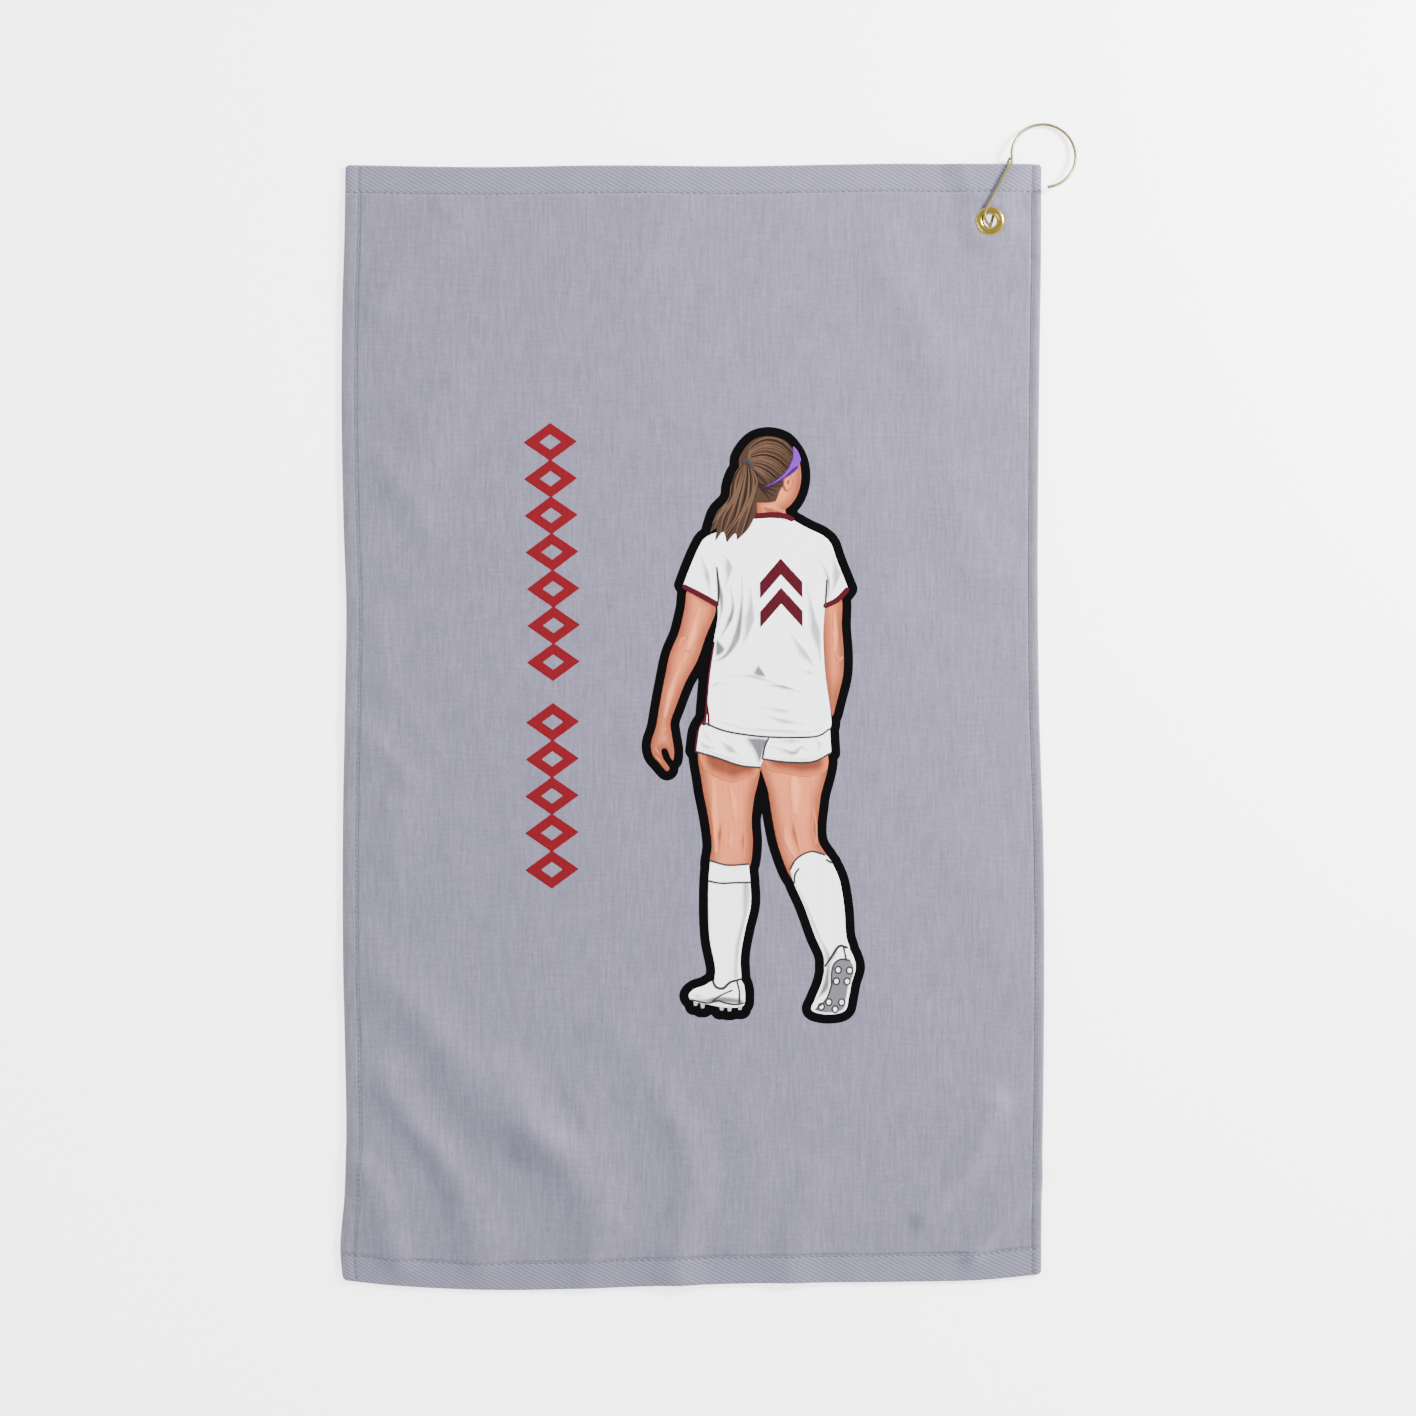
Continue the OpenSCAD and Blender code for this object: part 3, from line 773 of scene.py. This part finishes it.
def film(name, shapes, layer, material, slot, grow=0.0, pitch=0.8, inward=0.0, keep=None, holes=()):
    """A printed colour on the pile. grow widens its shapes, and inward is the depth of its shaded edge.
    keep is the shapes that the colour stays inside, and holes are the shapes left out of it."""
    every = np.concatenate([s[0] for s in shapes])
    wide = grow + 3 * pitch + max([0, *[s[1].max() for s in shapes if s[1] is not None]])
    us = np.arange(every[:, 0].min() - wide, every[:, 0].max() + wide, pitch)
    vs = np.arange(every[:, 1].min() - wide, every[:, 1].max() + wide, pitch)
    grid = np.meshgrid(us, vs, indexing="ij")
    level = np.full(grid[0].shape, FAR)
    for s in shapes:
        reach = wide + 2
        i = slice(*np.searchsorted(us, [s[0][:, 0].min() - reach, s[0][:, 0].max() + reach]))
        j = slice(*np.searchsorted(vs, [s[0][:, 1].min() - reach, s[0][:, 1].max() + reach]))
        level[i, j] = np.minimum(level[i, j], distance(s, grid[0][i, j], grid[1][i, j]) - grow)
    if keep is not None:
        level = np.maximum(level, np.min([distance(s, *grid) for s in keep], 0))
    for s in holes:
        level = np.maximum(level, -distance(s, *grid))
    flat, quads, tris, value = clipped_grid(us, vs, level)
    top = face(*flat.T)
    obj = slab(name, flat, quads, tris, top + FILM_STEP * (layer + 1), top - FILM_SINK)
    if inward:
        tag(obj, "inward", smooth01(-value / inward), smooth01(-value / inward))
    return dress(obj, material, "towel", slot)


# The player, seen from behind: a plain figure in a plain kit, from the towel's centre.
ponytail = area((36, 154), (31, 153), (26, 147), (23.5, 140), (22, 132), (15, 124), (11, 112, 1), (15, 115),
    (14, 107, 1), (19, 113), (21, 106.5, 1), (26, 112), (27, 108, 1), (34, 115), (38.5, 125), (38.5, 134),
    (40.5, 142), (38.5, 149))
skull = area((36, 166), (46, 168.5), (56, 165), (61.5, 156), (59, 146), (53, 138), (50, 130.5, 1),
    (45, 129.8), (39, 130, 1), (36, 138), (30, 147), (28.5, 156))
# The face is turned away: a plain oval with no features.
cheek = oval((50.5, 145), 14.2, 20.5)
neck = straight((38.5, 119), (38.5, 134), (54, 134), (56.5, 119))
ear = oval((57, 141), 2.9, 4.8, -8)
shirt = area((36.5, 120.5, 1), (48, 121), (59.5, 119.5, 1), (68, 114.5), (77, 110), (82, 105), (85.5, 95),
    (92, 78.5, 1), (86, 71.5), (78, 67.5, 1), (77, 52), (78, 30), (81, 6), (80.5, -3), (74, -7.3), (60, -8),
    (40, -7), (20, -3.5), (7, 1.5, 1), (8, 14), (9.5, 30), (12.5, 48), (15, 62), (15, 71, 1), (4, 77.5),
    (-5, 82, 1), (-1, 92), (4.5, 104), (9, 110), (20, 114.5), (28, 118))
shorts = area((7, 4, 1), (3, -3), (1.3, -14.5, 1), (14, -18.5), (28, -23.5), (39.5, -25, 1), (41.5, -20, 1),
    (55, -22), (70, -22), (81, -17, 1), (80.5, -3, 1), (40, 4))
arms = [
    area((-2, 80), (-4.5, 68), (-8, 54), (-13, 42), (-16, 28), (-19, 12), (-21, 0), (-24, -10), (-23, -17),
        (-19, -22), (-15, -26.5), (-13.4, -24.5), (-17, -19), (-18, -14), (-15, -13.5), (-12.5, -19),
        (-11, -20), (-10.6, -14), (-12, -5), (-12.6, 2), (-9.5, 11), (-4, 25), (3, 38), (8, 52), (14, 68),
        (8, 76)),
    area((77, 72), (77, 50), (78, 30), (80.5, 12), (82, 4), (85, 14), (88.5, 28), (89, 42), (88, 56),
        (87.5, 74)),
]
legs = [
    area((4.5, -12), (5.5, -34), (9, -54), (10.8, -70), (10, -84), (22, -88), (32, -84), (34.5, -70),
        (34, -56), (35.5, -44), (39, -22), (24, -12)),
    area((41, -16), (44, -40), (46.5, -58), (50, -74), (58, -92), (70, -92), (79, -82), (73, -70), (72, -60),
        (74, -44), (77.5, -16)),
]
socks = [
    area((10, -79, 1), (20, -81.8), (32, -81.3, 1), (33, -94), (33, -106), (29.5, -121), (27, -136),
        (27, -153), (20, -158), (12, -153), (12.5, -142), (9.5, -126), (8.6, -110), (8.8, -92)),
    area((56, -85, 1), (60, -78.5), (68, -74.5), (76, -76.5), (80, -81, 1), (84.5, -92), (87, -108),
        (88, -124), (90, -134), (84, -148), (76, -146), (75, -136), (70, -124), (64, -107), (58, -93)),
]
boots = [
    area((11, -149, 1), (13, -153), (17, -153), (21, -149), (26, -148, 1), (28.8, -152), (29.5, -159),
        (28, -164.5), (18, -165), (8, -163), (-0.5, -161), (-3, -157.5), (0, -154), (6, -152)),
    area((76, -141, 1), (79.5, -136), (84, -129.5), (88.5, -130.5), (92, -136), (93.5, -143), (91, -152),
        (89.5, -160), (87, -168), (77, -170), (68, -167.5), (70, -161), (74, -151)),
]
studs = [straight((x - 1.3, y), (x + 1.3, y), (x + 1, y - 3.2), (x - 1, y - 3.2))
         for x, y in ((1, -160.5), (5, -162), (16, -163.5), (20.5, -164), (26.5, -163.5))]
head = [skull, ponytail, cheek]
body = [*head, neck, shirt, shorts, *arms, *legs, *socks, *boots, *studs]

BORDER, LINE_GROW = 5.4, 0.12  # how far the black outline and the drawn lines reach past their shapes
INKS = {
    "black": (0.0012, 0.0012, 0.0014), "white": (0.95, 0.95, 0.96), "pale_grey": (0.33, 0.332, 0.34),
    "grey": (0.112, 0.112, 0.117), "line": (0.030, 0.028, 0.031), "maroon": (0.049, 0.005, 0.009),
    "brown": (0.040, 0.0215, 0.0145), "light_brown": (0.078, 0.043, 0.026),
    "dark_brown": (0.018, 0.0100, 0.0075), "purple": (0.118, 0.0126, 0.292),
    "dark_purple": (0.0375, 0.0068, 0.097), "red": (0.122, 0.0060, 0.0098), "skin": (0.57, 0.160, 0.068),
    "skin_mid": (0.45, 0.115, 0.050), "skin_light": (0.74, 0.24, 0.112), "skin_edge": (0.235, 0.060, 0.031),
    "skin_shade": (0.155, 0.038, 0.020),
}
INKS = {name: (*colour, 1) for name, colour in INKS.items()}
inks = {name: ink(f"ink_{name}", colour) for name, colour in INKS.items() if name != "skin"}
# Inks that fade towards the shape's edge into the colour round it.
inks["skin"] = ink("ink_skin", INKS["skin"], INKS["skin_edge"])
for name, middle_ink, edge_ink in (
    ("soft_light", "skin_light", "skin"), ("soft_shade", "skin_edge", "skin"),
    ("leg_shadow", "skin_shade", "skin_mid"), ("soft_pale", "pale_grey", "white"),
    ("soft_grey", "grey", "white"),
):
    inks[name] = ink(f"ink_{name}", INKS[middle_ink], INKS[edge_ink])


def strands(upper, lower, shares, widths, bulge=(0, 0), wave=0.0):
    """Hair strands between two outer ones, each given by the same number of points from the tie outwards."""
    out = []
    upper, lower = np.array(upper, float), np.array(lower, float)
    along = np.linspace(0, 1, len(upper))[:, None]
    for share in shares:
        sway = wave * np.sin(2 * math.pi * (1.2 * along + 1.7 * share)) * along
        puff = 4 * share * (1 - share) * along * np.array(bulge)
        out.append(stroke(*widths, *(upper * (1 - share + sway) + lower * (share - sway) + puff)))
    return out


CROWN = (((33.4, 155.5), (35.4, 162.8), (43.5, 167.4), (52.5, 165.9), (59.8, 159.4)),
         ((33.8, 152.8), (36.4, 149), (39, 146), (41.5, 143.4), (44, 141)))
TAIL = (((30, 152.5), (24.6, 144), (21.6, 133), (15.6, 123), (10.6, 113)),
        ((36, 150.5), (39.8, 142), (38, 131), (34.4, 119.5), (29, 109.5)))
NAPE = (((57.5, 146), (51, 142.8), (44, 140), (38, 143)),
        ((46, 130.6), (43.5, 134.4), (40.6, 138.4), (37, 142.6)))


def chevron(x, top, half=12.5, rise=14, thick=9.5):
    """A roof-shaped stripe in place of the shirt's number."""
    return straight((x - half, top - rise), (x, top), (x + half, top - rise),
                    (x + half, top - rise - thick), (x, top - thick), (x - half, top - rise - thick))


collar = stroke(3.2, 3.6, 2.8, (37.4, 121.9), (47, 122.4), (54.5, 121.7), (59.2, 119.8))
cuffs = strokes(
    (3.0, 3.2, 3.2, (-4.2, 80.9), (5, 76.2), (14.3, 70.9)),
    (3.0, 3.2, 3.0, (78.6, 68.9), (85.4, 72.2), (91.2, 78.0)),
)
side_stripe = strokes(
    (2.2, 2.4, 2.4, (12.3, 48), (9.5, 30), (8, 14), (7, 1)), (1.2, 1.2, 1.2, (8.6, 13), (9.6, 6), (9.8, 0)),
    (2.4, 2.4, 2.4, (5, 2), (3, -3), (1.3, -15)),
)
shirt_folds = strokes(
    (1, 5, 1.4, (14, 96), (16, 82), (17.4, 70), (16, 59)),
    (0.8, 4.6, 1, (23, 84), (24, 68), (20, 57), (15, 49)),
    (1, 6, 1.6, (30, 88), (29, 68), (26, 51), (20, 41), (13, 37)),
    (0.8, 3.6, 0.8, (74, 99), (79.4, 88), (80.4, 78), (79, 69)),
    (0.8, 3.4, 0.6, (19, 28.2), (32, 28.8), (42, 26.4), (52, 23.6)),
    (0.6, 2.4, 0.5, (10.5, 20), (14, 24), (25, 24.6)), (0.8, 3.8, 0.6, (42, 23.8), (54, 21.6), (68, 17.4)),
    (0.6, 2.4, 0.6, (63, 33), (69, 30), (74, 29.6)),
) + [
    area((13, 46), (14.5, 51), (20, 44), (14, 39.5)), area((39, 35.5), (35.5, 29), (44, 27.4)),
]
pale_folds = strokes(
    (1, 7, 1, (35, 82), (34, 62), (30, 46)), (1, 7, 1, (68, 82), (71, 62), (74, 48), (76, 35)),
    (0.8, 6, 0.8, (58, 54), (65, 42), (73, 33)),
    (0.8, 3, 0.8, (12, 4), (30, -1.6), (52, -4), (70, -4.6), (78, -1)),
    (0.8, 4, 0.8, (42, 6), (54, 1.6), (68, 0.4)), (0.8, 3.4, 0.6, (40, 11), (52, 8), (62, 7.4)),
    (1.4, 6, 1, (83, 102), (85.4, 88), (82, 75)), (1, 5, 1, (6, 100), (9, 88), (11.4, 77)),
    (1, 6, 1, (20, 100), (22, 92), (20, 80)),
)
short_folds = strokes(
    (1.6, 4.6, 1.6, (44, -12), (52, -14.6), (59, -17), (64, -13.6), (68, -15.6)),
    (0.8, 3.6, 0.8, (45, -9.6), (58, -10), (69, -9.8)), (0.8, 3.4, 0.8, (73, -8.6), (74.6, -12), (74, -16)),
    (0.8, 2.6, 0.8, (7, -2), (8.6, -6), (12, -8.6)),
) + [
    area((31, -7), (44.6, -8), (43, -14), (41.4, -20), (39, -24), (35.4, -16)),
]
pale_short_folds = strokes(
    (0.8, 4, 0.8, (4, -8), (8, -12.4), (15, -14)), (1, 5, 1, (17, -9), (22, -14), (27, -17)),
    (0.8, 2, 0.8, (4, -13), (16, -17), (28, -21.5), (37, -23)),
    (0.8, 2, 0.8, (44, -18.4), (56, -20), (70, -20), (79, -15.5)),
)
leg_shadows = [
    area((4, -8), (22, -13), (40, -17), (37, -30), (31, -31.5), (24, -33.5), (14, -30.5), (6, -24)),
    area((40, -12), (56, -14), (79, -11), (78, -27), (66, -31), (54, -29), (44, -26)),
]
limb_shades = strokes(
    (0.8, 3.6, 1, (17, -56), (15.6, -64), (15.4, -75)), (0.8, 3.0, 1, (30, -58), (29, -68), (29, -78)),
    (0.6, 1.0, 0.6, (18, -73), (23, -73.8), (28, -74.2)), (1, 4, 1.4, (58, -54), (58.6, -64), (62, -76)),
    (1, 3.6, 1, (70, -50), (70.5, -62), (71, -70)), (0.6, 1.6, 0.5, (-8, 46), (-6, 50.6), (-3.6, 51)),
    (0.6, 2.6, 0.8, (-4, 44.5), (-1.2, 43), (1.4, 45.6)),
    (0.6, 2.4, 0.8, (83.6, 41), (86, 37.4), (88.2, 38.6)), (0.5, 1.4, 0.5, (-17.4, -9), (-15, -5.8)),
    (0.5, 0.9, 0.4, (-21.6, -13), (-19, -16.6)), (0.5, 0.9, 0.4, (-21, -18), (-17.6, -21.6)),
    (0.5, 0.8, 0.4, (-18, -2), (-14.4, -1.6)), (1, 5, 2, (41, 128), (47, 124.5), (54, 124)),
    (0.6, 1.2, 0.6, (59.4, 141), (57.2, 136.6), (56.2, 142.6)),
)
limb_lights = strokes(
    (2, 4.6, 2, (12, -33), (13, -50), (13.4, -74)), (4, 8, 4, (59, -30), (60, -38), (59.4, -52)),
    (2, 4, 2, (22, -36), (24, -46), (24.5, -55)), (1.5, 4, 1.5, (53, -60), (55, -69), (59, -79)),
    (2, 5.4, 2, (4, 68), (0, 52), (-5, 37)), (1.6, 3.6, 1.6, (-8, 34), (-13, 18), (-16, 5)),
    (1.6, 3.4, 1.6, (83.5, 66), (84, 52), (84, 42)), (1.5, 3.4, 1.5, (22, -62), (21.6, -68), (21, -72)),
)
sock_shades = strokes(
    (0.5, 1.4, 0.5, (21, -83), (27, -84.4), (31.6, -83.4)),
    (0.8, 2.4, 0.8, (57, -84.6), (58, -89), (58.6, -92)),
) + [
    area((28, -93), (32.7, -93), (32.7, -106), (29, -121), (26.6, -136), (26, -149), (22.5, -149),
         (23.5, -130), (27.6, -112)),
    area((58.8, -92), (61, -94), (68, -110), (74, -124), (79.5, -136), (76, -140), (75, -134), (70, -122),
         (64, -107)),
]
boot_shades = strokes(
    (0.8, 3, 0.8, (27.6, -150), (28.4, -155), (28, -160)),
    (0.8, 3, 0.8, (-1.6, -156.4), (2, -158), (8, -158.6)), (1, 3, 1, (84, -131.6), (80.8, -136), (78, -142)),
    (1.6, 5, 1.6, (69, -166), (78, -169), (87, -167)),
) + [
    area((-3, -158), (6, -159), (13, -157.4), (21, -158), (29, -160), (28.8, -164), (18, -163.4), (8, -163),
         (-0.6, -161)),
    area((75.4, -143), (79.6, -137.6), (79.2, -148), (78, -156), (70, -163), (70.6, -158), (74.2, -151)),
]
sole = area((80.6, -142), (84, -138.6), (89, -138), (92, -141.6), (92, -147), (89.3, -153), (88, -160),
    (86, -167), (77, -168.6), (70.4, -167), (76.5, -161), (79.6, -153), (79.8, -147))
sole_studs = [oval(at, 1.7, 1.9) for at in (
    (83.4, -144), (90, -144.4), (82.4, -150.6), (88.6, -150.8),
    (73.6, -165.4), (78, -162.8), (85.4, -163), (81.6, -167))]
lines = strokes(
    (0.9, 0.9, 0.8, (7.4, 1.4), (20, -3.6), (40, -6.9), (60, -7.9), (73.5, -7.2), (80.2, -3.2)),
    (0.8, 0.9, 0.8, (44.5, -8.4), (42.4, -13), (41, -20)),
    (0.8, 0.8, 0.8, (2, -15.2), (14, -18.8), (28, -23.7), (39.3, -25.1)),
    (0.8, 0.9, 0.8, (41.6, -20.2), (55, -22.2), (70, -22.2), (80.4, -17.4)),
    (0.8, 0.8, 0.8, (10, -79.2), (20, -81.9), (32, -81.5)),
    (0.9, 0.9, 0.9, (9, -91), (16, -92.4), (24, -92.2), (32.8, -92.2)),
    (0.8, 0.9, 0.8, (56, -85), (60, -78.7), (68, -74.7), (76, -76.7)),
    (0.8, 0.9, 0.8, (58.3, -93), (58.8, -88), (61, -84.6)), (0.8, 0.9, 0.8, (77, -79.6), (80, -81.4)),
    (1.1, 1.4, 1.1, (11, -149.6), (13, -153), (17, -153.8), (21, -150.4), (27.2, -148.6)),
    (0.8, 0.9, 0.8, (-1.4, -160.2), (8, -162.2), (14, -161), (18, -162.4), (24, -163.4), (29, -162.6)),
    (0.8, 0.8, 0.8, (25, -150), (26.3, -156), (26.2, -162.4)),
    (0.8, 0.8, 0.8, (11, -161), (15.6, -157.8), (22, -155.2)),
    (1.1, 1.4, 1.1, (76, -141.6), (79.6, -136.4), (84, -130.2), (88.6, -131)),
    (0.8, 0.8, 0.8, (79.6, -153), (79.6, -146), (81, -140.6), (85, -137.8), (90, -138.4)),
    (0.8, 0.8, 0.8, (79.6, -153), (76.5, -161), (70.4, -167)), (0.8, 0.8, 0.8, (86.6, -131), (88, -137.4)),
    (0.8, 1.4, 0.8, (15, 92), (15.8, 80), (15.4, 72)), (0.7, 1.0, 0.7, (79.4, 84), (79, 76), (78.4, 69)),
) + [(np.concatenate([path, path[:1]]), np.full(len(path) + 1, 0.4)) for path, _ in sole_studs]
hairband = area((59.4, 163, 1), (62.6, 159.6), (64.6, 154.4, 1), (62, 148.6), (55.5, 143.6), (48, 140),
    (41, 138.4, 1), (48.6, 141.6), (55, 146.6), (59, 153), (60, 158.4))
hairband_shade = area((63.4, 151), (61.4, 148.2), (55.2, 143.4), (48, 139.9), (41, 138.4, 1), (48.4, 141),
    (55, 144.8), (60, 149.4))
hair_tie = stroke(2.2, 2.4, 2.0, (31.4, 154.6), (34.2, 154.2), (36.2, 150.4))

ear_lines = strokes(
    (0.6, 1.0, 0.6, (56.4, 145.4), (54.4, 143), (54.4, 140), (56, 136.4)),
    (0.5, 1.3, 0.5, (58.2, 143.6), (57, 141.4), (57.6, 139.2)),
)
uneven = np.sin(5.0 * np.arange(14)) * 0.022
dark_hair = [
    *strands(*CROWN, np.linspace(0.04, 0.97, 14) + uneven, (0.4, 0.9, 1.1), (3.4, -2.6)),
    *strands(*TAIL, np.linspace(0.06, 0.95, 8) + uneven[:8], (0.8, 1.7, 0.7), wave=0.1),
    *strands(*NAPE, np.linspace(0.1, 0.95, 6) + uneven[:6], (0.5, 1.1, 0.5)),
]
light_hair = [
    *strands(*CROWN, np.linspace(0.0, 0.92, 14) - uneven, (0.2, 0.9, 0.4), (3.4, -2.6)),
    *strands(*TAIL, np.linspace(0.0, 0.9, 8) - uneven[:8], (0.4, 1.6, 0.5), wave=0.1),
]

FINE, COARSE = 0.4, 0.8  # grid pitches
DETAILED = ("lines", "dark_hair", "light_hair", "limb_shades", "trim", "side_stripe", "shirt_folds")

# Each printed colour: name, shapes, layer, ink, what it stays inside, and the depth of its fading edge.
for name, shapes, layer, colour, keep, inward in (
    ("outline", body, 0, "black", None, 0),
    ("skin", [cheek, neck, ear, *arms, *legs], 1, "skin", None, 8),
    ("limb_lights", limb_lights, 2, "soft_light", [*arms, *legs], 2.6),
    ("limb_shades", limb_shades, 3, "soft_shade", [cheek, neck, ear, *arms, *legs], 1.4),
    ("leg_shadows", leg_shadows, 4, "leg_shadow", legs, 6),
    ("shorts", [shorts], 5, "white", None, 0),
    ("pale_short_folds", pale_short_folds, 6, "soft_pale", [shorts], 1.6),
    ("short_folds", short_folds, 7, "soft_grey", [shorts], 2.4),
    ("shirt", [shirt], 8, "white", None, 0),
    ("pale_folds", pale_folds, 9, "soft_pale", [shirt], 1.9),
    ("shirt_folds", shirt_folds, 10, "soft_grey", [shirt], 1.9),
    ("socks", socks, 5, "white", None, 0),
    ("sock_shades", sock_shades, 6, "soft_pale", socks, 1.6),
    ("studs", studs, 7, "pale_grey", None, 0),
    ("boots", boots, 7, "white", None, 0),
    ("boot_shades", boot_shades, 8, "soft_grey", boots, 2.2),
    ("sole", [sole], 9, "grey", boots, 0),
    ("sole_studs", sole_studs, 10, "white", None, 0),
    ("trim", [collar, *cuffs, chevron(52.5, 97), chevron(52.5, 80)], 11, "maroon", None, 0),
    ("side_stripe", side_stripe, 11, "maroon", [shirt, shorts], 0),
    ("lines", lines, 12, "line", None, 0),
    ("hair", [skull, ponytail], 12, "brown", None, 0),
    ("ear", [ear], 15, "skin", None, 1.6),
    ("ear_lines", ear_lines, 16, "skin_shade", None, 0),
    ("dark_hair", dark_hair, 13, "dark_brown", [skull, ponytail], 0),
    ("light_hair", light_hair, 14, "light_brown", [skull, ponytail], 0),
    ("hairband", [hairband], 15, "purple", None, 0),
    ("hairband_shade", [hairband_shade], 16, "dark_purple", [hairband], 0),
    ("hair_tie", [hair_tie], 16, "line", None, 0),
):
    grow = {"outline": BORDER, "lines": LINE_GROW}.get(name, 0)
    piece = film(f"print_{name}", shapes, layer, inks[colour], "print_black", grow,
                 FINE if name in DETAILED else COARSE, inward, keep)
    if name == "outline":
        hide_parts("figure_print")

DIAMOND, DIAMOND_SIZES = 21, (1.04, 0.42)

# Two runs of diamonds beside the player, each diamond with a small one left out of it.
for name in ("upper", "lower"):
    lo, hi = node_box(f"{name}_band_print")
    lo, hi = lo[:2] - CENTRE, hi[:2] - CENTRE
    count = round((hi[1] - lo[1]) / DIAMOND)
    x, half, step = (lo[0] + hi[0]) / 2, (hi[0] - lo[0]) / 2, (hi[1] - lo[1]) / count
    centres = [lo[1] + step * (k + 0.5) for k in range(count)]
    outer, inner = (
        [straight((x - half * k, y), (x, y - step * k / 2), (x + half * k, y), (x, y + step * k / 2))
         for y in centres] for k in DIAMOND_SIZES)
    run = film(f"print_{name}_band", outer, 1, inks["red"], "print_red", pitch=0.6, holes=inner)
    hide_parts(f"{name}_band_print")

# ---------------------------------------------------------------- table, light and camera

# The floor is flat under the towel and sweeps up round it, in metres.
FLOOR, FLOOR_Z = 7.0, -0.0006
SWEEP_FROM, SWEEP, SWEEP_RISE = 2.0, 1.5, 1.4
floor_grid = rows(-FLOOR / 2, FLOOR / 2, 0.2)
x, y = (g.ravel() for g in np.meshgrid(floor_grid, floor_grid, indexing="ij"))
z = FLOOR_Z + SWEEP_RISE * smooth01((np.hypot(x, y) - SWEEP_FROM) / SWEEP)
floor = new_object("floor", np.stack([x, y, z], 1), [grid_faces(len(floor_grid), len(floor_grid))])
# The white paper glows a little, like the photo's cut-out ground.
paper = Shader("paper", (0.97, 0.97, 0.97, 1), 0.9, Specular_IOR_Level=0.1,
               Emission_Color=(1, 1, 1, 1), Emission_Strength=2.0)
paper.bump(paper.noise((300, 300, 300), detail=3), 0.1, 0.2)
floor.data.materials.append(paper.material)


def soft_light(name, at, size, power):
    """A round lamp that points at the towel."""
    data = bpy.data.lights.new(name, "AREA")
    data.shape, data.size, data.energy = "DISK", size, power
    light = bpy.data.objects.new(name, data)
    light.location = at
    light.rotation_euler = Vector(-np.array(at)).to_track_quat("-Z", "Y").to_euler()
    bpy.context.collection.objects.link(light)


soft_light("key", (1.1, 0.62, 0.9), 0.5, 80)
soft_light("fill", (-1.3, -0.4, 1.9), 1.6, 26)

world = bpy.data.worlds.new("studio")
bpy.context.scene.world = world
world.use_nodes = True
sky = world.node_tree.nodes["Background"].inputs
sky["Color"].default_value = (0.9, 0.93, 1.0, 1.0)
sky["Strength"].default_value = 0.95

# Straight above the towel, at the height that shows VIEW_WIDTH metres of the cloth's face.
LENS, SENSOR = 90.0, 36.0
VIEW_WIDTH, VIEW_CENTRE = 0.8237, (-0.0013, -0.0019)
camera_data = bpy.data.cameras.new("camera")
camera_data.lens, camera_data.sensor_width = LENS, SENSOR
camera_data.clip_start, camera_data.clip_end = 0.05, 20
camera = bpy.data.objects.new("camera", camera_data)
camera.location = (*VIEW_CENTRE, VIEW_WIDTH * LENS / SENSOR + CLOTH_T * MM)
bpy.context.collection.objects.link(camera)
bpy.context.scene.camera = camera
